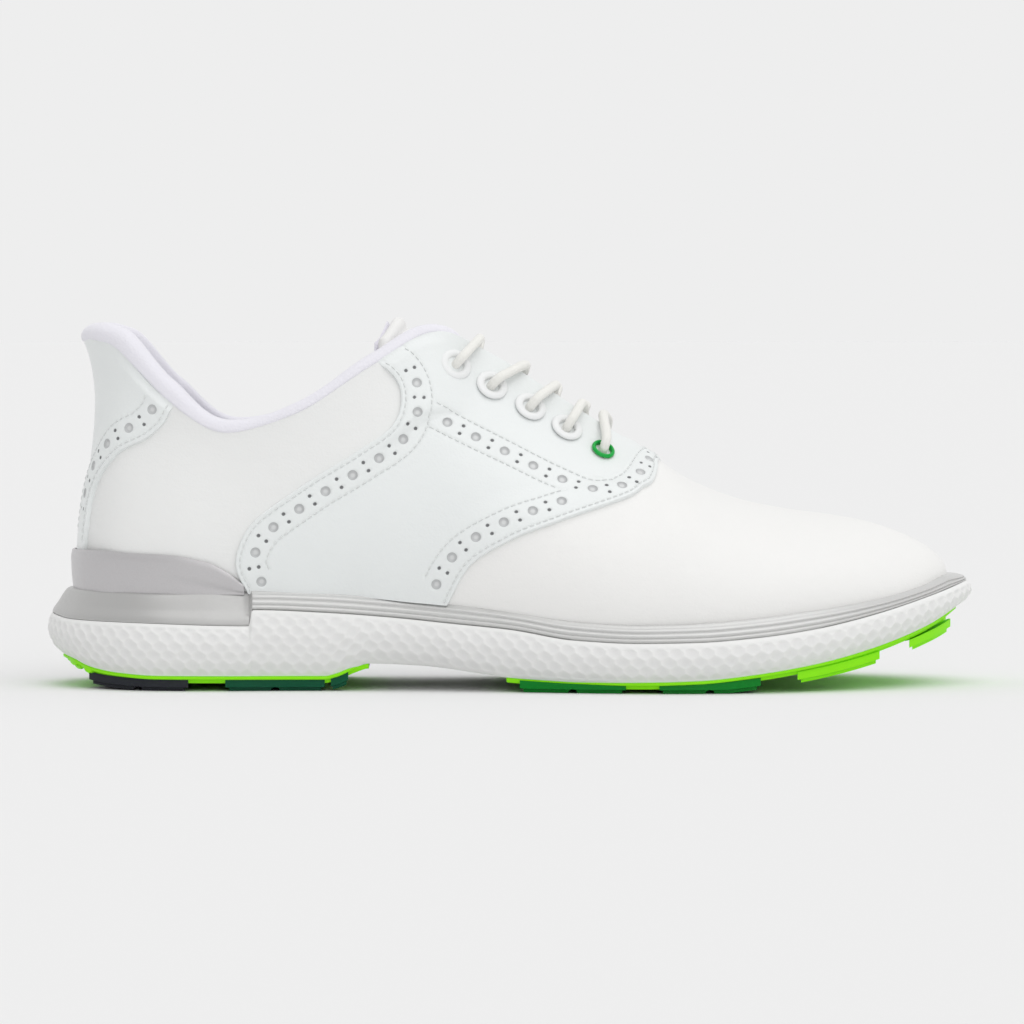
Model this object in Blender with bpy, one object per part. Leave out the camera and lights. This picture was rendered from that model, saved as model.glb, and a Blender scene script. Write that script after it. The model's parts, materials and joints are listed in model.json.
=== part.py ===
"""Golf shoe, right foot: white saddle upper, silver frame and heel cup, foam midsole, lugged outsole.

Frame: +X to the toe, +Y to the inner (medial) side, +Z up, with z = 0 under the lugs. The numbers in
the tables are millimetres. The upper is one surface, the last, given by ribs: a rib runs from the
bottom edge of the upper to its top edge, and every leather, lining and stiffener is a thick sheet at
its own distance from that surface. The sole parts are stacked rings of one plan outline.
"""

import math

import bmesh
import bpy
import numpy as np
from mathutils import Matrix, Vector

MM = 0.001
LATERAL, MEDIAL = 0, 1

# Distances from the last, inner and outer face, in millimetres.
LINING = (-1.4, 0.0)
STIFFENER = (0.45, 1.1)
LEATHER = (2.0, 3.0)
OVERLAY_RISE = 1.6
CUP = (3.4, 4.6)
GAP = 0.5
LACE_RADIUS = 1.5
EYELET_HOLE = 3.7
TONGUE_DROP = 5.7

# Ribs of the last. Bottom edge: x, y lateral, y medial. Top edge: x, y lateral, y medial, z.
# Handles: out and up from the bottom edge, out and down from the top edge.
RIBS = (
    (-137.6, 0.0, 0.0, -136.6, 0.0, 0.0, 114.5, 5, 27, -11, 26),
    (-134.5, -14, 14, -133.5, -10, 10, 115, 5, 27, -10, 26),
    (-126, -25.5, 25, -126, -18, 18, 111, 5, 26, -7, 26),
    (-110, -31.5, 30.5, -111, -23.5, 23.5, 95, 5, 22, -3, 20),
    (-90, -33.5, 30.5, -93, -27, 27, 83.5, 5, 18, 1, 16),
    (-65, -34, 28, -68, -29.5, 29, 90, 6, 20, 3, 20),
    (-40, -35.5, 26.5, -45, -26, 26, 105, 7, 24, 5, 24),
    (-20, -38, 28, -26, -16.5, 17, 115, 7, 28, 10, 22),
    (0, -42, 32, -8, -10, 10, 107.5, 7, 28, 13, 17),
    (18, -45, 37, 8, -8.5, 8.5, 97.5, 6, 26, 14, 16),
    (34, -47, 42, 22, -7.5, 7.5, 88, 5, 24, 15, 13),
    (48, -47.5, 45.5, 34, -6, 6, 80, 4, 22, 17, 9),
    (62, -47, 48, 43, 0, 0, 74.2, 4, 20, 20, 0),
    (78, -44.5, 48, 57, 0, 0, 65, 3, 19, 23, 0),
    (94, -39.5, 45.5, 73, 0, 0, 58.5, 2, 17, 21, 0),
    (110, -32, 40, 89, 0, 0, 55, 1, 13, 18, 0),
    (126, -20.5, 30.5, 103, 0, 0, 53.1, 0, 9, 15, 0),
    (137.5, -6.5, 18, 111, 0, 0, 51.8, 0, 7, 13, 0),
    (141.4, 6, 6, 113, 0, 0, 51.4, 0, 7, 13, 0),
)
TOE = len(RIBS) - 1
THROAT = 12

# Height of the upper's bottom edge along x.
FEATHER = (
    (-140, 30.6), (-110, 31.2), (-80, 32.2), (-60, 31.6), (-40, 30.1), (-20, 28.3), (0, 25.8),
    (20, 22.7), (40, 21.6), (60, 22.1), (80, 23.6), (100, 26), (120, 29.4), (135, 33), (142, 35.6),
)

# Plan outline of the midsole at its fullest: x, y lateral, y medial.
OUTLINE = (
    (-152.7, 0, 0), (-149, -16, 16), (-140, -30, 29.5), (-122, -41, 40), (-100, -44, 42),
    (-70, -42.5, 38.5), (-40, -42.5, 35), (-10, -47, 36.5), (20, -53.5, 44), (45, -57, 53),
    (70, -56, 57.5), (95, -49.5, 55.5), (118, -38, 47.5), (137, -22, 34), (149, -6, 20),
    (152.8, 7, 7),
)

# Heights along x: underside of the frame, with its step at the front of the heel wedge, and
# underside of the midsole, with the recess under the arch.
FRAME_UNDER = (
    (-152, 23.4), (-145, 22.4), (-120, 21.9), (-83.4, 21), (-82.2, 26.2), (-60, 25.3), (-40, 23.9),
    (-20, 22), (0, 20.1), (20, 17), (40, 16.1), (60, 16.4), (80, 17.8), (100, 20.4), (120, 24.6),
    (140, 30), (152, 33.6),
)
SOLE_UNDER = (
    (-152, 10), (-146, 8.6), (-140, 6.6), (-130, 5), (-115, 4.2), (-60, 4.1), (-56, 5), (-50, 7.6),
    (-46, 8.8), (-30, 8.2), (-10, 5.8), (-2, 4.7), (4, 4.3), (20, 3.5), (40, 3), (60, 3.5),
    (80, 5.4), (100, 8.4), (120, 13), (140, 19.6), (152, 25.5),
)

# Edges of the panels: x, z on the side of the shoe from the bottom up, then the rib at the top edge.
SADDLE_REAR = (
    (
        (-84.5, 32), (-88.5, 40), (-86.5, 49), (-80, 57), (-65, 67.5), (-49.5, 77), (-38.5, 85),
        (-35.5, 93), (-37, 100),
    ),
    6.05,
)
SADDLE_FRONT = (
    ((-20.5, 28.5), (-13, 40.5), (0, 48.8), (14.5, 54.3), (32.5, 60.2), (42, 64.5), (47, 68.5)),
    12.5,
)
BACKTAB_FRONT = (
    ((-138, 33), (-138, 49), (-135.5, 64), (-129, 75), (-121, 80.5), (-115, 86)),
    3.0,
)
CUP_TOP = ((-125, 44.5), (-108, 43.6), (-98, 41.6), (-91, 38), (-86, 34.2))
CUP_BACK = 0.166
EYELETS = ((-18, 105), (-6.2, 98.2), (6.3, 91.2), (18.2, 84.4), (30, 77.2))

# Top of the tongue above the lacing: x, z on the centre line, half width, drop and set-back of the
# edges.
TONGUE_TOP = (
    (-21, 109, 19, 13, 4), (-28, 112.5, 19, 11, 6), (-33.5, 117, 18, 9, 7), (-35.5, 121.5, 15, 7, 6),
)

# Lugs of the outsole: name, x of the centre, half length, colour. They stand LUG_HEIGHT below the
# midsole, and no lower than the ground. Their outer sides follow the sole's edge, LUG_INSET in.
CHARCOAL, TEAL, GREEN, LIME = "charcoal_rubber", "teal_rubber", "green_rubber", "lime_rubber"
LUGS = (
    ("lug_heel_rear", -120.5, 16.5, CHARCOAL),
    ("lug_heel_front", -76, 16, TEAL),
    ("lug_heel_tip", -55.2, 2.8, TEAL),
    ("lug_ball_rear", 20, 17, GREEN),
    ("lug_ball_front", 64, 16.3, GREEN),
    ("lug_fore", 106, 13.7, LIME),
    ("lug_toe", 137.5, 7.5, LIME),
)
LUG_HEIGHT = 4.2
LUG_INSET = 5.3
LUG_DEPTH = 1.6
LUG_GROOVE = 1.7
PLATE = 1.2
PLATE_INSET = 5.5

MATERIALS = {
    "white_leather": ((0.86, 0.86, 0.84), 0.5, 0.0),
    "saddle_leather": ((0.84, 0.86, 0.85), 0.35, 0.0),
    "lining_fabric": ((0.83, 0.82, 0.88), 0.85, 0.0),
    "white_foam": ((0.84, 0.84, 0.83), 0.6, 0.0),
    "inner_foam": ((0.75, 0.75, 0.72), 0.9, 0.0),
    "board": ((0.72, 0.66, 0.55), 0.8, 0.0),
    "silver_frame": ((0.56, 0.55, 0.53), 0.35, 0.3),
    "silver_cup": ((0.5, 0.49, 0.5), 0.35, 0.3),
    "white_eyelet": ((0.85, 0.86, 0.85), 0.25, 0.0),
    "green_eyelet": ((0.0, 0.32, 0.04), 0.15, 0.0),
    "lace_cotton": ((0.87, 0.87, 0.83), 0.8, 0.0),
    "clear_tip": ((0.8, 0.8, 0.78), 0.2, 0.0),
    CHARCOAL: ((0.025, 0.027, 0.035), 0.6, 0.0),
    TEAL: ((0.0, 0.08, 0.033), 0.5, 0.0),
    GREEN: ((0.0, 0.17, 0.018), 0.5, 0.0),
    LIME: ((0.27, 0.67, 0.012), 0.45, 0.0),
}


# ---------------------------------------------------------------- curves

def catmull(rows, t, before, after):
    """Rows of control values read as a uniform Catmull-Rom curve at the parameters t."""
    rows = np.vstack([before, rows, after])
    t = np.asarray(t, float)
    start = np.clip(np.floor(t).astype(int), 0, len(rows) - 4)
    f = (t - start)[..., None]
    a, b, c, d = (rows[start + k] for k in range(4))
    return b + 0.5 * f * (c - a + f * (2 * a - 5 * b + 4 * c - d + f * (3 * (b - c) + d - a)))


def level(table, x):
    """Heights of a table of x, z at x, smooth and never past its own points."""
    xs, zs = np.array(table, float).T
    step = np.diff(xs)
    rise = np.diff(zs) / step
    slope = np.zeros(len(xs))
    same = rise[:-1] * rise[1:] > 0
    mean = 2 * rise[:-1] * rise[1:] / np.where(same, rise[:-1] + rise[1:], 1)
    slope[1:-1] = np.where(same, mean, 0)
    slope[0], slope[-1] = rise[0], rise[-1]
    x = np.clip(np.asarray(x, float), xs[0], xs[-1])
    i = np.clip(np.searchsorted(xs, x) - 1, 0, len(step) - 1)
    h, f = step[i], (x - xs[i]) / step[i]
    return (
        zs[i] * (1 + 2 * f) * (1 - f) ** 2
        + slope[i] * h * f * (1 - f) ** 2
        + zs[i + 1] * f * f * (3 - 2 * f)
        - slope[i + 1] * h * f * f * (1 - f)
    )


def smooth_path(points, spacing):
    """Points along a Catmull-Rom curve through the route's points, about one spacing apart."""
    points = np.array(points, float)
    ends = 2 * points[[0, -1]] - points[[1, -2]]
    fine = catmull(points, np.linspace(0, len(points) - 1, 40 * len(points)), ends[:1], ends[1:])
    along = np.concatenate([[0], np.cumsum(np.linalg.norm(np.diff(fine, axis=0), axis=1))])
    stops = np.linspace(0, along[-1], max(2, round(along[-1] / spacing)) + 1)
    return np.stack([np.interp(stops, along, fine[:, k]) for k in range(3)], axis=1)


# ---------------------------------------------------------------- the last

def rib_rows(side):
    rows = np.array(RIBS, float)
    return np.delete(rows, [2 - side, 5 - side], axis=1)


ROWS = (rib_rows(LATERAL), rib_rows(MEDIAL))


def ribs(side, s):
    """Bottom x y, top x y z and the four handle lengths at stations s. The ends mirror the far side."""
    rows, other = ROWS[side], ROWS[1 - side]
    return catmull(rows, s, other[1:2], other[-2:-1])


def last(side, s, v):
    """Points of the last at stations s and heights v, from 0 at the bottom to 1 at the top."""
    s, v = np.broadcast_arrays(np.asarray(s, float), np.asarray(v, float))
    rib = ribs(side, s)
    ahead, back = ribs(side, np.minimum(s + 0.05, TOE)), ribs(side, np.maximum(s - 0.05, 0))
    along = ahead[..., :2] - back[..., :2]
    along[s <= 0] = (0, 2 * side - 1)
    along[s >= TOE] = (0, 1 - 2 * side)
    along /= np.linalg.norm(along, axis=-1, keepdims=True)
    turn = 1 if side == LATERAL else -1
    out = np.stack([turn * along[..., 1], -turn * along[..., 0]], axis=-1)
    fall = back_slope(s) * np.clip(s - THROAT + 1, 0, 1)
    bottom = np.stack([rib[..., 0], rib[..., 1], level(FEATHER, rib[..., 0])], axis=-1)
    top = rib[..., 2:5].copy()
    top[s >= THROAT, 1] = 0
    out3 = np.concatenate([out, np.zeros(s.shape + (1,))], axis=-1)
    low = bottom + out3 * rib[..., 5:6] + np.array([0, 0, 1.0]) * rib[..., 6:7]
    high = top + out3 * rib[..., 7:8] - np.array([0, 0, 1.0]) * rib[..., 8:9]
    high[..., 2] += fall * out[..., 0] * rib[..., 7]
    w = v[..., None]
    return (
        bottom * (1 - w) ** 3 + 3 * low * w * (1 - w) ** 2 + 3 * high * w * w * (1 - w) + top * w ** 3
    )


def back_slope(s):
    """Slope of the upper's top edge along x at stations s, as it is over the toes."""
    here, behind = ribs(LATERAL, s), ribs(LATERAL, np.maximum(s - 0.5, 0))
    run = np.maximum(here[..., 2] - behind[..., 2], 0.01)
    return (here[..., 4] - behind[..., 4]) / run


def normals(side, s, v):
    """Outward unit normals of the last."""
    s, v = np.broadcast_arrays(np.asarray(s, float), np.asarray(v, float))
    e = 0.02
    dip = np.minimum(v, 0.985)
    ds = last(side, np.minimum(s + e, TOE), dip) - last(side, np.maximum(s - e, 0), dip)
    dv = last(side, s, np.minimum(v + e, 1)) - last(side, s, np.maximum(v - e, 0))
    n = np.cross(ds, dv) * (1 if side == LATERAL else -1)
    ridge = (s >= THROAT) & (v > 0.999)
    flat = np.stack([-back_slope(s), np.zeros(s.shape), np.ones(s.shape)], axis=-1)
    n = np.where(ridge[..., None], flat, n)
    seam = (s <= 0) | (s >= TOE)
    n[..., 1] = np.where(seam & (v > 0.5), 0, n[..., 1])
    return n / np.linalg.norm(n, axis=-1, keepdims=True)


def skin(side, s, v, offset):
    """Points at an offset from the last. The bottom edge stays level, where it is trimmed."""
    base = last(side, s, v)
    points = base + normals(side, s, v) * np.asarray(offset, float)[..., None]
    points[..., 2] = np.where(np.asarray(v) <= 0, base[..., 2], points[..., 2])
    return points


def locate(side, x, z, offset=LEATHER[1]):
    """The station and height where the skin at an offset passes through x, z in the side view."""
    s, v = (g.ravel() for g in np.meshgrid(np.linspace(0, TOE, 121), np.linspace(0, 1, 41)))
    near = skin(side, s, v, np.full(s.shape, offset))
    pick = np.argmin((near[:, 0] - x) ** 2 + (near[:, 2] - z) ** 2)
    at = np.array([s[pick], v[pick]])
    for _ in range(12):
        trial = at + np.array([[0, 0], [0.01, 0], [0, 0.01]])
        p = skin(side, trial[:, 0], trial[:, 1], np.full(3, offset))[:, [0, 2]]
        slopes = (p[1:] - p[0]).T / 0.01
        at = at + np.clip(np.linalg.lstsq(slopes, np.array([x, z]) - p[0], rcond=None)[0], -0.5, 0.5)
        at = np.clip(at, [0.02, 0], [TOE, 1])
    return at


def panel_edges(outline, top):
    """Station as a function of height along a panel edge, for each side. Both end at station top."""
    edges = []
    for side in (LATERAL, MEDIAL):
        found = np.array([locate(side, x, z) for x, z in outline])
        found = found[found[:, 1] < 0.995]
        heights, stations = np.append(found[:, 1], 1), np.append(found[:, 0], top)
        edges.append(lambda v, h=heights, s=stations: np.interp(v, h, s))
    return edges


# ---------------------------------------------------------------- solids

def make_object(name, bm, material):
    mesh = bpy.data.meshes.new(name)
    bm.to_mesh(mesh)
    bm.free()
    mesh.shade_smooth()
    mesh.set_sharp_from_angle(angle=math.radians(40))
    obj = bpy.data.objects.new(name, mesh)
    obj.data.materials.append(bpy.data.materials[material])
    PARTS.objects.link(obj)
    return obj


def thick_sheet(name, grids, material):
    """Closed solid from patches of one sheet. Each patch has base, inner and outer points and a flip.

    Points of different patches that share a base point are one point, so patches join where they
    meet. The rim is closed between the two faces.
    """
    index, inner, outer, faces = {}, [], [], []
    for base, low, high, flip in grids:
        ids = np.zeros(base.shape[:2], int)
        for place in np.ndindex(ids.shape):
            key = tuple(np.round(base[place], 3) + 0.0)
            if key not in index:
                index[key] = len(inner)
                inner.append(low[place])
                outer.append(high[place])
            ids[place] = index[key]
        for i, j in np.ndindex(ids.shape[0] - 1, ids.shape[1] - 1):
            a, b, c, d = ids[i, j], ids[i + 1, j], ids[i + 1, j + 1], ids[i, j + 1]
            for loop in ((a, b, c), (a, c, d)):
                if len(set(loop)) == 3:
                    faces.append(loop[::-1] if flip else loop)
    bm = bmesh.new()
    under = [bm.verts.new(p * MM) for p in np.array(inner)]
    over = [bm.verts.new(p * MM) for p in np.array(outer)]
    edges = {(loop[k - 1], loop[k]) for loop in faces for k in range(len(loop))}
    for loop in faces:
        bm.faces.new([over[k] for k in loop])
        bm.faces.new([under[k] for k in reversed(loop)])
    for a, b in sorted(edges):
        if (b, a) not in edges:
            bm.faces.new([over[b], over[a], under[a], under[b]])
    return make_object(name, bm, material)


def patch(side, s, v, low, high):
    """One patch of a sheet on the last, from its grid of stations and heights."""
    low, high = np.broadcast_to(low, s.shape), np.broadcast_to(high, s.shape)
    return last(side, s, v), skin(side, s, v, low), skin(side, s, v, high), side == MEDIAL


def panel(side, start, stop, columns, heights, low, high, lift=None):
    """Patch between two panel edges. Each edge is a function of height that gives a station."""
    a, v = np.meshgrid(columns, heights, indexing="ij")
    first, final = start(v), stop(v)
    s = first * (1 - a) + final * a
    if s[0, -1] < THROAT < s[-1, -1]:
        s[np.argmin(np.abs(s[:, -1] - THROAT)), -1] = THROAT
    rise = np.zeros(a.shape) if lift is None else lift(s - first, final - s)
    return patch(side, s, v, low + rise, high + rise)


def stacked(rings):
    """Closed mesh from rings, lowest first. A ring is its lateral and its medial row of points."""
    bm = bmesh.new()
    loops, caps = [], []
    for lateral, medial in rings:
        left = [bm.verts.new(p * MM) for p in lateral]
        right = [bm.verts.new(p * MM) for p in medial[1:-1]]
        heel, toe = (
            left[end] if np.allclose(lateral[end], medial[end]) else bm.verts.new(medial[end] * MM)
            for end in (0, -1)
        )
        right = [heel, *right, toe]
        loops.append(list(dict.fromkeys(left + right[::-1])))
        caps.append((left, right))
    for lower, upper in zip(loops, loops[1:]):
        for k in range(len(lower)):
            bm.faces.new([lower[k - 1], lower[k], upper[k], upper[k - 1]])
    for (left, right), up in ((caps[0], False), (caps[-1], True)):
        for k in range(len(left) - 1):
            loop = list(dict.fromkeys([left[k], left[k + 1], right[k + 1], right[k]]))
            bm.faces.new(loop if up else loop[::-1])
    return bm


def slab(name, rings, material):
    return make_object(name, stacked(rings), material)


def outline_points(side, stations):
    """Plan points of the sole outline at stations. The ends mirror the far side."""
    rows = np.array(OUTLINE, float)
    far = rows[:, [0, 2 - side]]
    return catmull(rows[:, [0, 1 + side]], stations, far[1:2], far[-2:-1])


def ring(stations, inset, height, upright=False):
    """A ring of the sole outline drawn in by inset. Inset and height are functions of x.

    An upright ring reads its height before it is drawn in, so that steps in x stay upright.
    """
    end = len(OUTLINE) - 1
    sides = []
    for side, turn in ((LATERAL, 1), (MEDIAL, -1)):
        p = outline_points(side, stations)
        ahead = outline_points(side, np.minimum(stations + 0.02, end))
        along = ahead - outline_points(side, np.maximum(stations - 0.02, 0))
        along[stations <= 0] = (0, -turn)
        along[stations >= end] = (0, turn)
        along /= np.linalg.norm(along, axis=1, keepdims=True)
        inward = np.stack([-turn * along[:, 1], turn * along[:, 0]], axis=1)
        drawn_in = p + inward * inset(p[:, 0])[:, None]
        read_at = p if upright else drawn_in
        sides.append(np.column_stack([drawn_in, height(read_at[:, 0])]))
    return sides


def even(distance):
    """The same inset all round."""
    return lambda x: np.full(np.shape(x), distance)


def stations_with(count, crossings):
    """Stations of the sole outline, evenly spread, with one at each crossing of x."""
    rows = np.array(OUTLINE, float)
    fine = np.linspace(0, len(rows) - 1, 3001)
    x = catmull(rows[:, :2], fine, rows[1:2, [0, 2]], rows[-2:-1, [0, 2]])[:, 0]
    found = np.interp(crossings, x, fine)
    even = np.linspace(0, len(rows) - 1, count)
    even = even[[np.min(np.abs(e - found)) > 0.12 for e in even]]
    return np.sort(np.concatenate([even, found]))


def cut(obj, cutters):
    """Subtract the cutters from a part."""
    for cutter in cutters:
        modifier = obj.modifiers.new("cut_" + cutter.name, "BOOLEAN")
        modifier.operation = "DIFFERENCE"
        modifier.solver = "EXACT"
        modifier.object = cutter


def make_cutter(name, bm):
    mesh = bpy.data.meshes.new(name)
    bm.to_mesh(mesh)
    bm.free()
    cutter = bpy.data.objects.new(name, mesh)
    cutter.hide_render = True
    cutter.display_type = "WIRE"
    CUTTERS.objects.link(cutter)
    return cutter


def rod(name, radius, length, segments, matrix):
    """Cutter: a cylinder about its own z axis."""
    bm = bmesh.new()
    bmesh.ops.create_cone(
        bm, cap_ends=True, segments=segments, radius1=radius * MM, radius2=radius * MM,
        depth=length * MM,
    )
    bm.transform(matrix)
    return make_cutter(name, bm)


def axis_frame(point, direction):
    """Matrix that stands the z axis of an object along a direction at a point."""
    turn = Vector(direction).to_track_quat("Z", "Y").to_matrix().to_4x4()
    return Matrix.Translation(Vector(point) * MM) @ turn


def turned(name, profile, steps, material, matrix):
    """Closed ring from a closed profile of radius, height pairs, turned about z."""
    bm = bmesh.new()
    rows = []
    for k in range(steps):
        a = 2 * math.pi * k / steps
        rows.append(
            [bm.verts.new((r * MM * math.cos(a), r * MM * math.sin(a), z * MM)) for r, z in profile]
        )
    for k in range(steps):
        for j in range(len(profile)):
            bm.faces.new([rows[k - 1][j - 1], rows[k][j - 1], rows[k][j], rows[k - 1][j]])
    bm.transform(matrix)
    bmesh.ops.recalc_face_normals(bm, faces=bm.faces)
    return make_object(name, bm, material)


def tube(name, points, radius, material):
    """Round cord along a list of points."""
    curve = bpy.data.curves.new(name, "CURVE")
    curve.dimensions = "3D"
    curve.bevel_depth = radius * MM
    curve.bevel_resolution = 1
    curve.use_fill_caps = True
    spline = curve.splines.new("POLY")
    spline.points.add(len(points) - 1)
    for point, place in zip(spline.points, points):
        point.co = (*(place * MM), 1)
    obj = bpy.data.objects.new(name, curve)
    obj.data.materials.append(bpy.data.materials[material])
    PARTS.objects.link(obj)
    return obj


# ---------------------------------------------------------------- upper

STATIONS = np.arange(0, TOE + 0.1, 0.5)
WALL = np.array([0, 0.13, 0.3, 0.47, 0.63, 0.77, 0.88, 0.95, 1])


def overlap_rise(distance):
    """Rise of a panel over its neighbour: full near the edge, gone a little further in."""
    return OVERLAY_RISE * np.clip((0.85 - distance) / 0.35, 0, 1)


def rise_both(from_start, from_stop):
    return overlap_rise(np.minimum(from_start, from_stop))


def rise_front(from_start, from_stop):
    return overlap_rise(from_stop)


def build_upper():
    rear, front, tab = (panel_edges(*edge) for edge in (SADDLE_REAR, SADDLE_FRONT, BACKTAB_FRONT))

    def toe(v):
        return np.full(np.shape(v), float(TOE))

    def heel(v):
        return np.zeros(np.shape(v))

    vamp, saddle, backtab, lining = [], [], [], []
    for side, name in ((LATERAL, "lateral"), (MEDIAL, "medial")):

        def under_front(v, edge=front[side]):
            return np.where(v > 0.97, THROAT, edge(v) - 0.4)

        def behind(v, edge=tab[side]):
            return np.maximum(edge(v) - 0.3, 0.12)

        def ahead(v, edge=rear[side]):
            return edge(v) + 0.35

        vamp.append(panel(side, under_front, toe, np.linspace(0, 1, 20), WALL, *LEATHER))
        saddle.append(
            panel(side, rear[side], front[side], np.linspace(0, 1, 14), WALL, *LEATHER, rise_both)
        )
        backtab.append(
            panel(side, heel, tab[side], np.linspace(0, 1, 7), WALL, *LEATHER, rise_front)
        )
        quarter = panel(side, behind, ahead, np.linspace(0, 1, 11), WALL, *LEATHER)
        thick_sheet(f"quarter_{name}", [quarter], "white_leather")
        lining.append(lattice(side, 0, TOE, 0, 1, *LINING))
    thick_sheet("vamp", vamp, "white_leather")
    thick_sheet("heel_backtab", backtab, "saddle_leather")
    return (
        thick_sheet("saddle", saddle, "saddle_leather"),
        thick_sheet("lining", lining, "lining_fabric"),
    )


def lattice(side, start, stop, low_edge, high_edge, low, high):
    """Patch on the lattice of stations and heights that all the inner layers share."""
    columns = STATIONS[(STATIONS >= start) & (STATIONS <= stop)]
    heights = WALL[(WALL >= low_edge) & (WALL <= high_edge)]
    s, v = np.meshgrid(columns, heights, indexing="ij")
    return patch(side, s, v, low, high)


def build_stiffeners():
    counter, puff, collar, stays = [], [], [], []
    for side, name in ((LATERAL, "lateral"), (MEDIAL, "medial")):
        counter.append(lattice(side, 0, 4.5, 0, 0.48, *STIFFENER))
        puff.append(lattice(side, 14.5, TOE, 0, 1, *STIFFENER))
        collar.append(lattice(side, 0, 5, 0.62, 1, *STIFFENER))
        stay = lattice(side, 7, 11.5, 0.7, 1, *STIFFENER)
        stays.append(thick_sheet(f"eyelet_stay_{name}", [stay], "board"))
    thick_sheet("heel_counter", counter, "board")
    thick_sheet("toe_puff", puff, "board")
    thick_sheet("collar_foam", collar, "inner_foam")
    return stays


def build_collar_roll():
    """Padded roll over the collar edge, thickest round the heel."""
    section = np.array([(-2.2, 0), (-3, 0.4), (-2.6, 0.8), (-0.3, 1), (2.2, 0.85), (3.4, 0.45), (2.9, 0)])
    bm = bmesh.new()
    rows = []
    half = np.arange(0, 7.6, 0.5)
    path = [(MEDIAL, s) for s in half[:0:-1]] + [(LATERAL, s) for s in half]
    for side, s in path:
        base = last(side, s, 1.0).reshape(3)
        n = normals(side, s, 1.0).reshape(3)
        up = base - last(side, s, 0.93).reshape(3)
        up /= np.linalg.norm(up)
        height = 3.4 + 2.1 * max(0, 1 - ((s - 2.6) / 2.2) ** 2)
        rows.append(
            [bm.verts.new((base + n * a + up * (GAP + b * height)) * MM) for a, b in section]
        )
    for k in range(1, len(rows)):
        for j in range(len(section)):
            bm.faces.new([rows[k - 1][j - 1], rows[k][j - 1], rows[k][j], rows[k - 1][j]])
    bm.faces.new(rows[0])
    bm.faces.new(rows[-1][::-1])
    bmesh.ops.recalc_face_normals(bm, faces=bm.faces)
    make_object("collar_roll", bm, "lining_fabric")


def tongue_grid():
    """Top face of the tongue: rows from its sewn end to its tip, columns from side to side."""
    rows = []
    for s in np.linspace(12.3, 7.6, 8):
        heights = np.array([0.72, 0.82, 0.92, 0.995])
        deep = np.full(4, -TONGUE_DROP)
        left = skin(LATERAL, np.full(4, s), heights, deep)
        right = skin(MEDIAL, np.full(4, s), heights, deep)
        middle = (left[-1] + right[-1]) / 2 + np.array([0, 0, 1.2 if s < THROAT else 0.2])
        rows.append(np.vstack([left, middle, right[::-1]]))
    q = np.linspace(-1, 1, 9)
    for x, z, half, drop, back in TONGUE_TOP:
        rows.append(np.column_stack([x - back * q * q, half * q, z - drop * q * q]))
    return np.array(rows)


def build_tongue():
    grid = tongue_grid()
    along = np.gradient(grid, axis=0)
    across = np.gradient(grid, axis=1)
    n = np.cross(across, along)
    n /= np.linalg.norm(n, axis=2, keepdims=True)
    if n[4, 4, 2] < 0:
        n = -n
    layers = (
        ("tongue_cover", 0, 1.1, "white_leather"),
        ("tongue_foam", 1.6, 4.6, "inner_foam"),
        ("tongue_lining", 5.1, 5.9, "lining_fabric"),
    )
    for name, top, bottom, material in layers:
        thick_sheet(name, [(grid, grid - n * bottom, grid - n * top, True)], material)


# ---------------------------------------------------------------- lacing

def eyelet_seat(side, number):
    """Station and height of an eyelet, and its axis."""
    s, v = locate(side, *EYELETS[number])
    return s, v, normals(side, s, v).reshape(3)


def build_eyelets(punched):
    profile = [(2.7, -0.8), (3.2, -1.5), (3.2, 3.6), (4.8, 3.6), (4.5, 4.4), (2.7, 4.3)]
    cutters = []
    for side, name in ((LATERAL, "lateral"), (MEDIAL, "medial")):
        for number in range(len(EYELETS)):
            s, v, axis = eyelet_seat(side, number)
            frame = axis_frame(last(side, s, v).reshape(3), axis)
            material = "green_eyelet" if number == len(EYELETS) - 1 else "white_eyelet"
            turned(f"eyelet_{name}_{number + 1}", profile, 10, material, frame)
            cutters.append((side, rod(f"punch_{name}_{number + 1}", EYELET_HOLE, 14, 8, frame)))
    for part, sides in punched:
        cut(part, [punch for side, punch in cutters if side in sides])


def skin_point(side, s, v, offset):
    return skin(side, np.array([s]), np.array([v]), np.array([offset]))[0]


def throat_edge(side, s):
    """A point of the throat's edge, with the directions out of the leather and on past the edge."""
    top, lower = skin_point(side, s, 1.0, 0), skin_point(side, s, 0.96, 0)
    onward = (top - lower) / np.linalg.norm(top - lower)
    return top, normals(side, s, 1.0).reshape(3), onward


def lace_over(side, number, station):
    """Route over the throat's edge at a station, down through an eyelet and out below it."""
    s, v, axis = eyelet_seat(side, number)
    seat = last(side, s, v).reshape(3)
    edge, out, onward = throat_edge(side, station)
    crest = edge + out * 4.3 + onward * 2.0
    lean = crest - seat
    lean -= axis * lean.dot(axis)
    lean /= np.linalg.norm(lean)
    rim = [seat + lean * 5.4 + axis * 6.3, seat + lean * 1.9 + axis * 6.5]
    return [crest, *rim, *(seat + axis * d for d in (4.3, 2.0, -0.4, -3.0))]


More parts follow.
